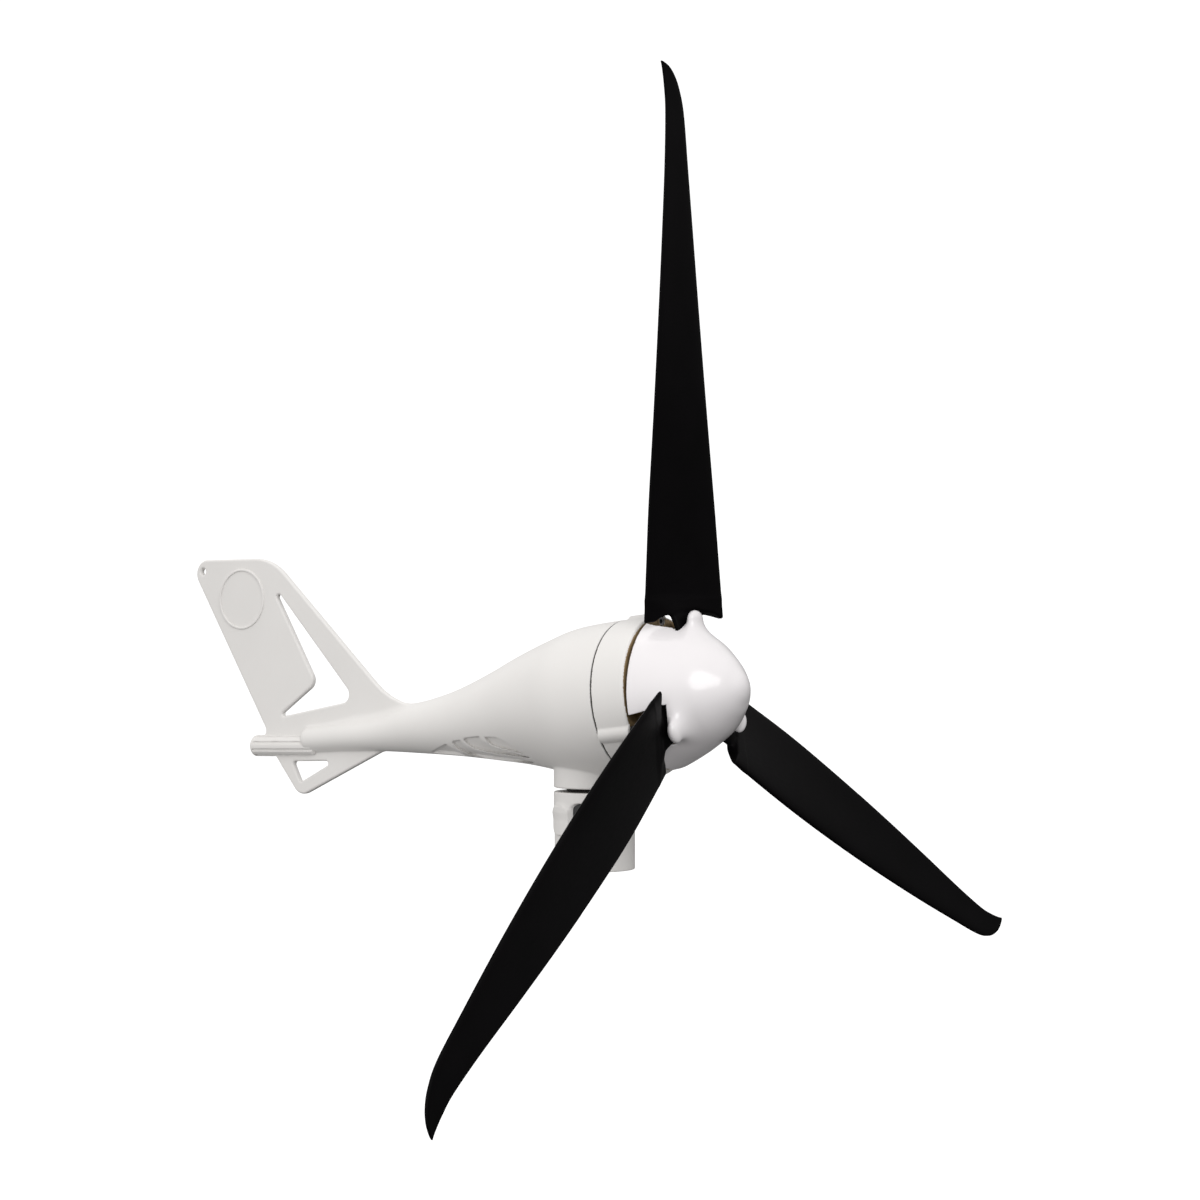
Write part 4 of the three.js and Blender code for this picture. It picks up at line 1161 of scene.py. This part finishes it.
def add_rings():
    lips = [(17.8, 74.2), (27, 74.2), (27, 75.6), (25.6, 76.2), (27, 76.9), (27, 78.3), (17.8, 78.3)]
    seal = turned("seal_lips", eased(lips, 0.3))
    add("seal_lips", seal, "rubber", "pole_mount", replaces=["dust_seal"])
    gasket = turned("gasket_ring", eased([(63.3, 46.7), (74.7, 46.7), (74.7, 47.5), (63.3, 47.5)], 0.2), 144)
    add("gasket_ring", gasket, "rubber", "head", drive_frame() @ ALONG_DRIVE, replaces=["face_gasket"])
    nut = moulded("hub_nut_shape", flange_nut, (-12, -12, -1), (12, 12, 10), 0.5)
    add("hub_nut_shape", nut, "steel", "rotor", on_drive(s=109) @ ALONG_DRIVE, replaces=["hub_nut"])
    washer = turned("washer_ring", eased([(7.3, 0), (14, 0), (14, 1.7), (7.3, 1.7)], 0.3))
    add("washer_ring", washer, "steel", "rotor", on_drive(s=107) @ ALONG_DRIVE, replaces=["hub_washer"])


add_casting()
add_face_plate()
add_nose()
add_blades()
add_collar()
add_screws()
add_rings()

# ---------------------------------------------------------------- studio

FLOOR = -0.52
STAGE_RADIUS = 7.0
STAGE_SWEEP = 2.5
LIGHT_SIDE = Vector((-0.486, 0.094, 0.85)).normalized()
# How bright the surroundings are, from the dark side (0) to the light side (1).
SKY = [(0.0, 0.04), (0.35, 0.22), (0.6, 0.76), (1.0, 0.84)]
SKY_STRENGTH = 1.2
PAPER = {"grey": 0.3, "glow": 0.85}
# The solved camera: where it stands in metres, and its turn, height and tilt in degrees.
CAMERA = {"place": (-1.7573, -1.2011, 0.2157), "azimuth": -55.84, "elevation": -1.486, "roll": -0.03}
LENS = {"length": 66.65, "sensor": 36.0, "shift": (-0.0018, -0.0125)}


def add_stage():
    """A pale round floor that sweeps up into a wall all round."""
    flat = STAGE_RADIUS - STAGE_SWEEP
    profile = [(1.5, 0.0), (3.0, 0.0), (flat, 0.0)]
    for i in range(1, 13):
        angle = math.pi / 2 * i / 12
        profile.append((flat + STAGE_SWEEP * math.sin(angle), STAGE_SWEEP * (1 - math.cos(angle))))
    profile.append((STAGE_RADIUS, STAGE_SWEEP + 3))
    sides = 96
    angles = np.arange(sides) * 2 * math.pi / sides
    points = [(r * math.cos(a), r * math.sin(a), FLOOR + z) for r, z in profile for a in angles]
    points.append((0, 0, FLOOR))
    faces = []
    for k in range(sides):
        n = (k + 1) % sides
        faces.append((len(points) - 1, k, n))
        for i in range(len(profile) - 1):
            a = i * sides
            faces.append((a + k, a + sides + k, a + sides + n, a + n))
    mesh = bpy.data.meshes.new("stage")
    mesh.from_pydata(points, [], faces)
    mesh.shade_smooth()
    material = bpy.data.materials.new("stage_paper")
    material.use_nodes = True
    shader = material.node_tree.nodes["Principled BSDF"]
    set_up(shader, {"Base Color": (*[PAPER["grey"]] * 3, 1), "Roughness": 0.9})
    set_up(shader, {"Emission Color": (1, 1, 1, 1), "Emission Strength": PAPER["glow"]})
    mesh.materials.append(material)
    stage = bpy.data.objects.new("stage", mesh)
    bpy.context.scene.collection.objects.link(stage)
    for ray in ("diffuse", "glossy", "transmission", "shadow"):
        setattr(stage, f"visible_{ray}", False)


def add_world():
    """Soft light from all round, brightest from above the -X side and darkest from below the +X side."""
    world = bpy.data.worlds.new("studio")
    bpy.context.scene.world = world
    world.use_nodes = True
    tree = world.node_tree
    background = tree.nodes["Background"]
    where = node(tree, "ShaderNodeTexCoord").outputs["Generated"]
    facing = node(tree, "ShaderNodeVectorMath", operation="DOT_PRODUCT")
    facing.inputs[1].default_value = LIGHT_SIDE
    tree.links.new(where, facing.inputs[0])
    along = node(tree, "ShaderNodeMapRange", **{"From Min": -1})
    tree.links.new(facing.outputs["Value"], along.inputs["Value"])
    ramp = node(tree, "ShaderNodeValToRGB")
    stops = ramp.color_ramp.elements
    while len(stops) < len(SKY):
        stops.new(0.5)
    for stop, (position, level) in zip(stops, SKY):
        stop.position = position
        stop.color = (level, level * 0.99, level * 0.985, 1)
    tree.links.new(along.outputs["Result"], ramp.inputs["Fac"])
    tree.links.new(ramp.outputs["Color"], background.inputs["Color"])
    background.inputs["Strength"].default_value = SKY_STRENGTH


def add_lamp(name, location, aim, size, power):
    """A round soft lamp that faces its aim."""
    data = bpy.data.lights.new(name, "AREA")
    data.shape = "DISK"
    data.size = size
    data.energy = power
    lamp = bpy.data.objects.new(name, data)
    bpy.context.scene.collection.objects.link(lamp)
    lamp.location = location
    lamp.rotation_euler = (Vector(location) - Vector(aim)).to_track_quat("Z", "Y").to_euler()


def add_camera():
    """The camera stands low on the nose's -X side."""
    azimuth, elevation, roll = (math.radians(CAMERA[turn]) for turn in ("azimuth", "elevation", "roll"))
    data = bpy.data.cameras.new("camera")
    data.sensor_width = LENS["sensor"]
    data.lens = LENS["length"]
    data.shift_x, data.shift_y = LENS["shift"]
    camera = bpy.data.objects.new("camera", data)
    bpy.context.scene.collection.objects.link(camera)
    aim = Matrix.Rotation(azimuth, 4, "Z") @ Matrix.Rotation(math.pi / 2 - elevation, 4, "X")
    camera.matrix_world = Matrix.Translation(CAMERA["place"]) @ aim @ Matrix.Rotation(roll, 4, "Z")
    bpy.context.scene.camera = camera


add_stage()
add_world()
add_lamp("key", (-1.6, -2.4, 1.9), (0, 0, 0.2), 1.8, 28)
add_lamp("top", (0.3, 0.6, 2.6), (0, 0.2, 0.2), 2.0, 6)
add_camera()
bpy.context.scene.view_settings.view_transform = "Standard"
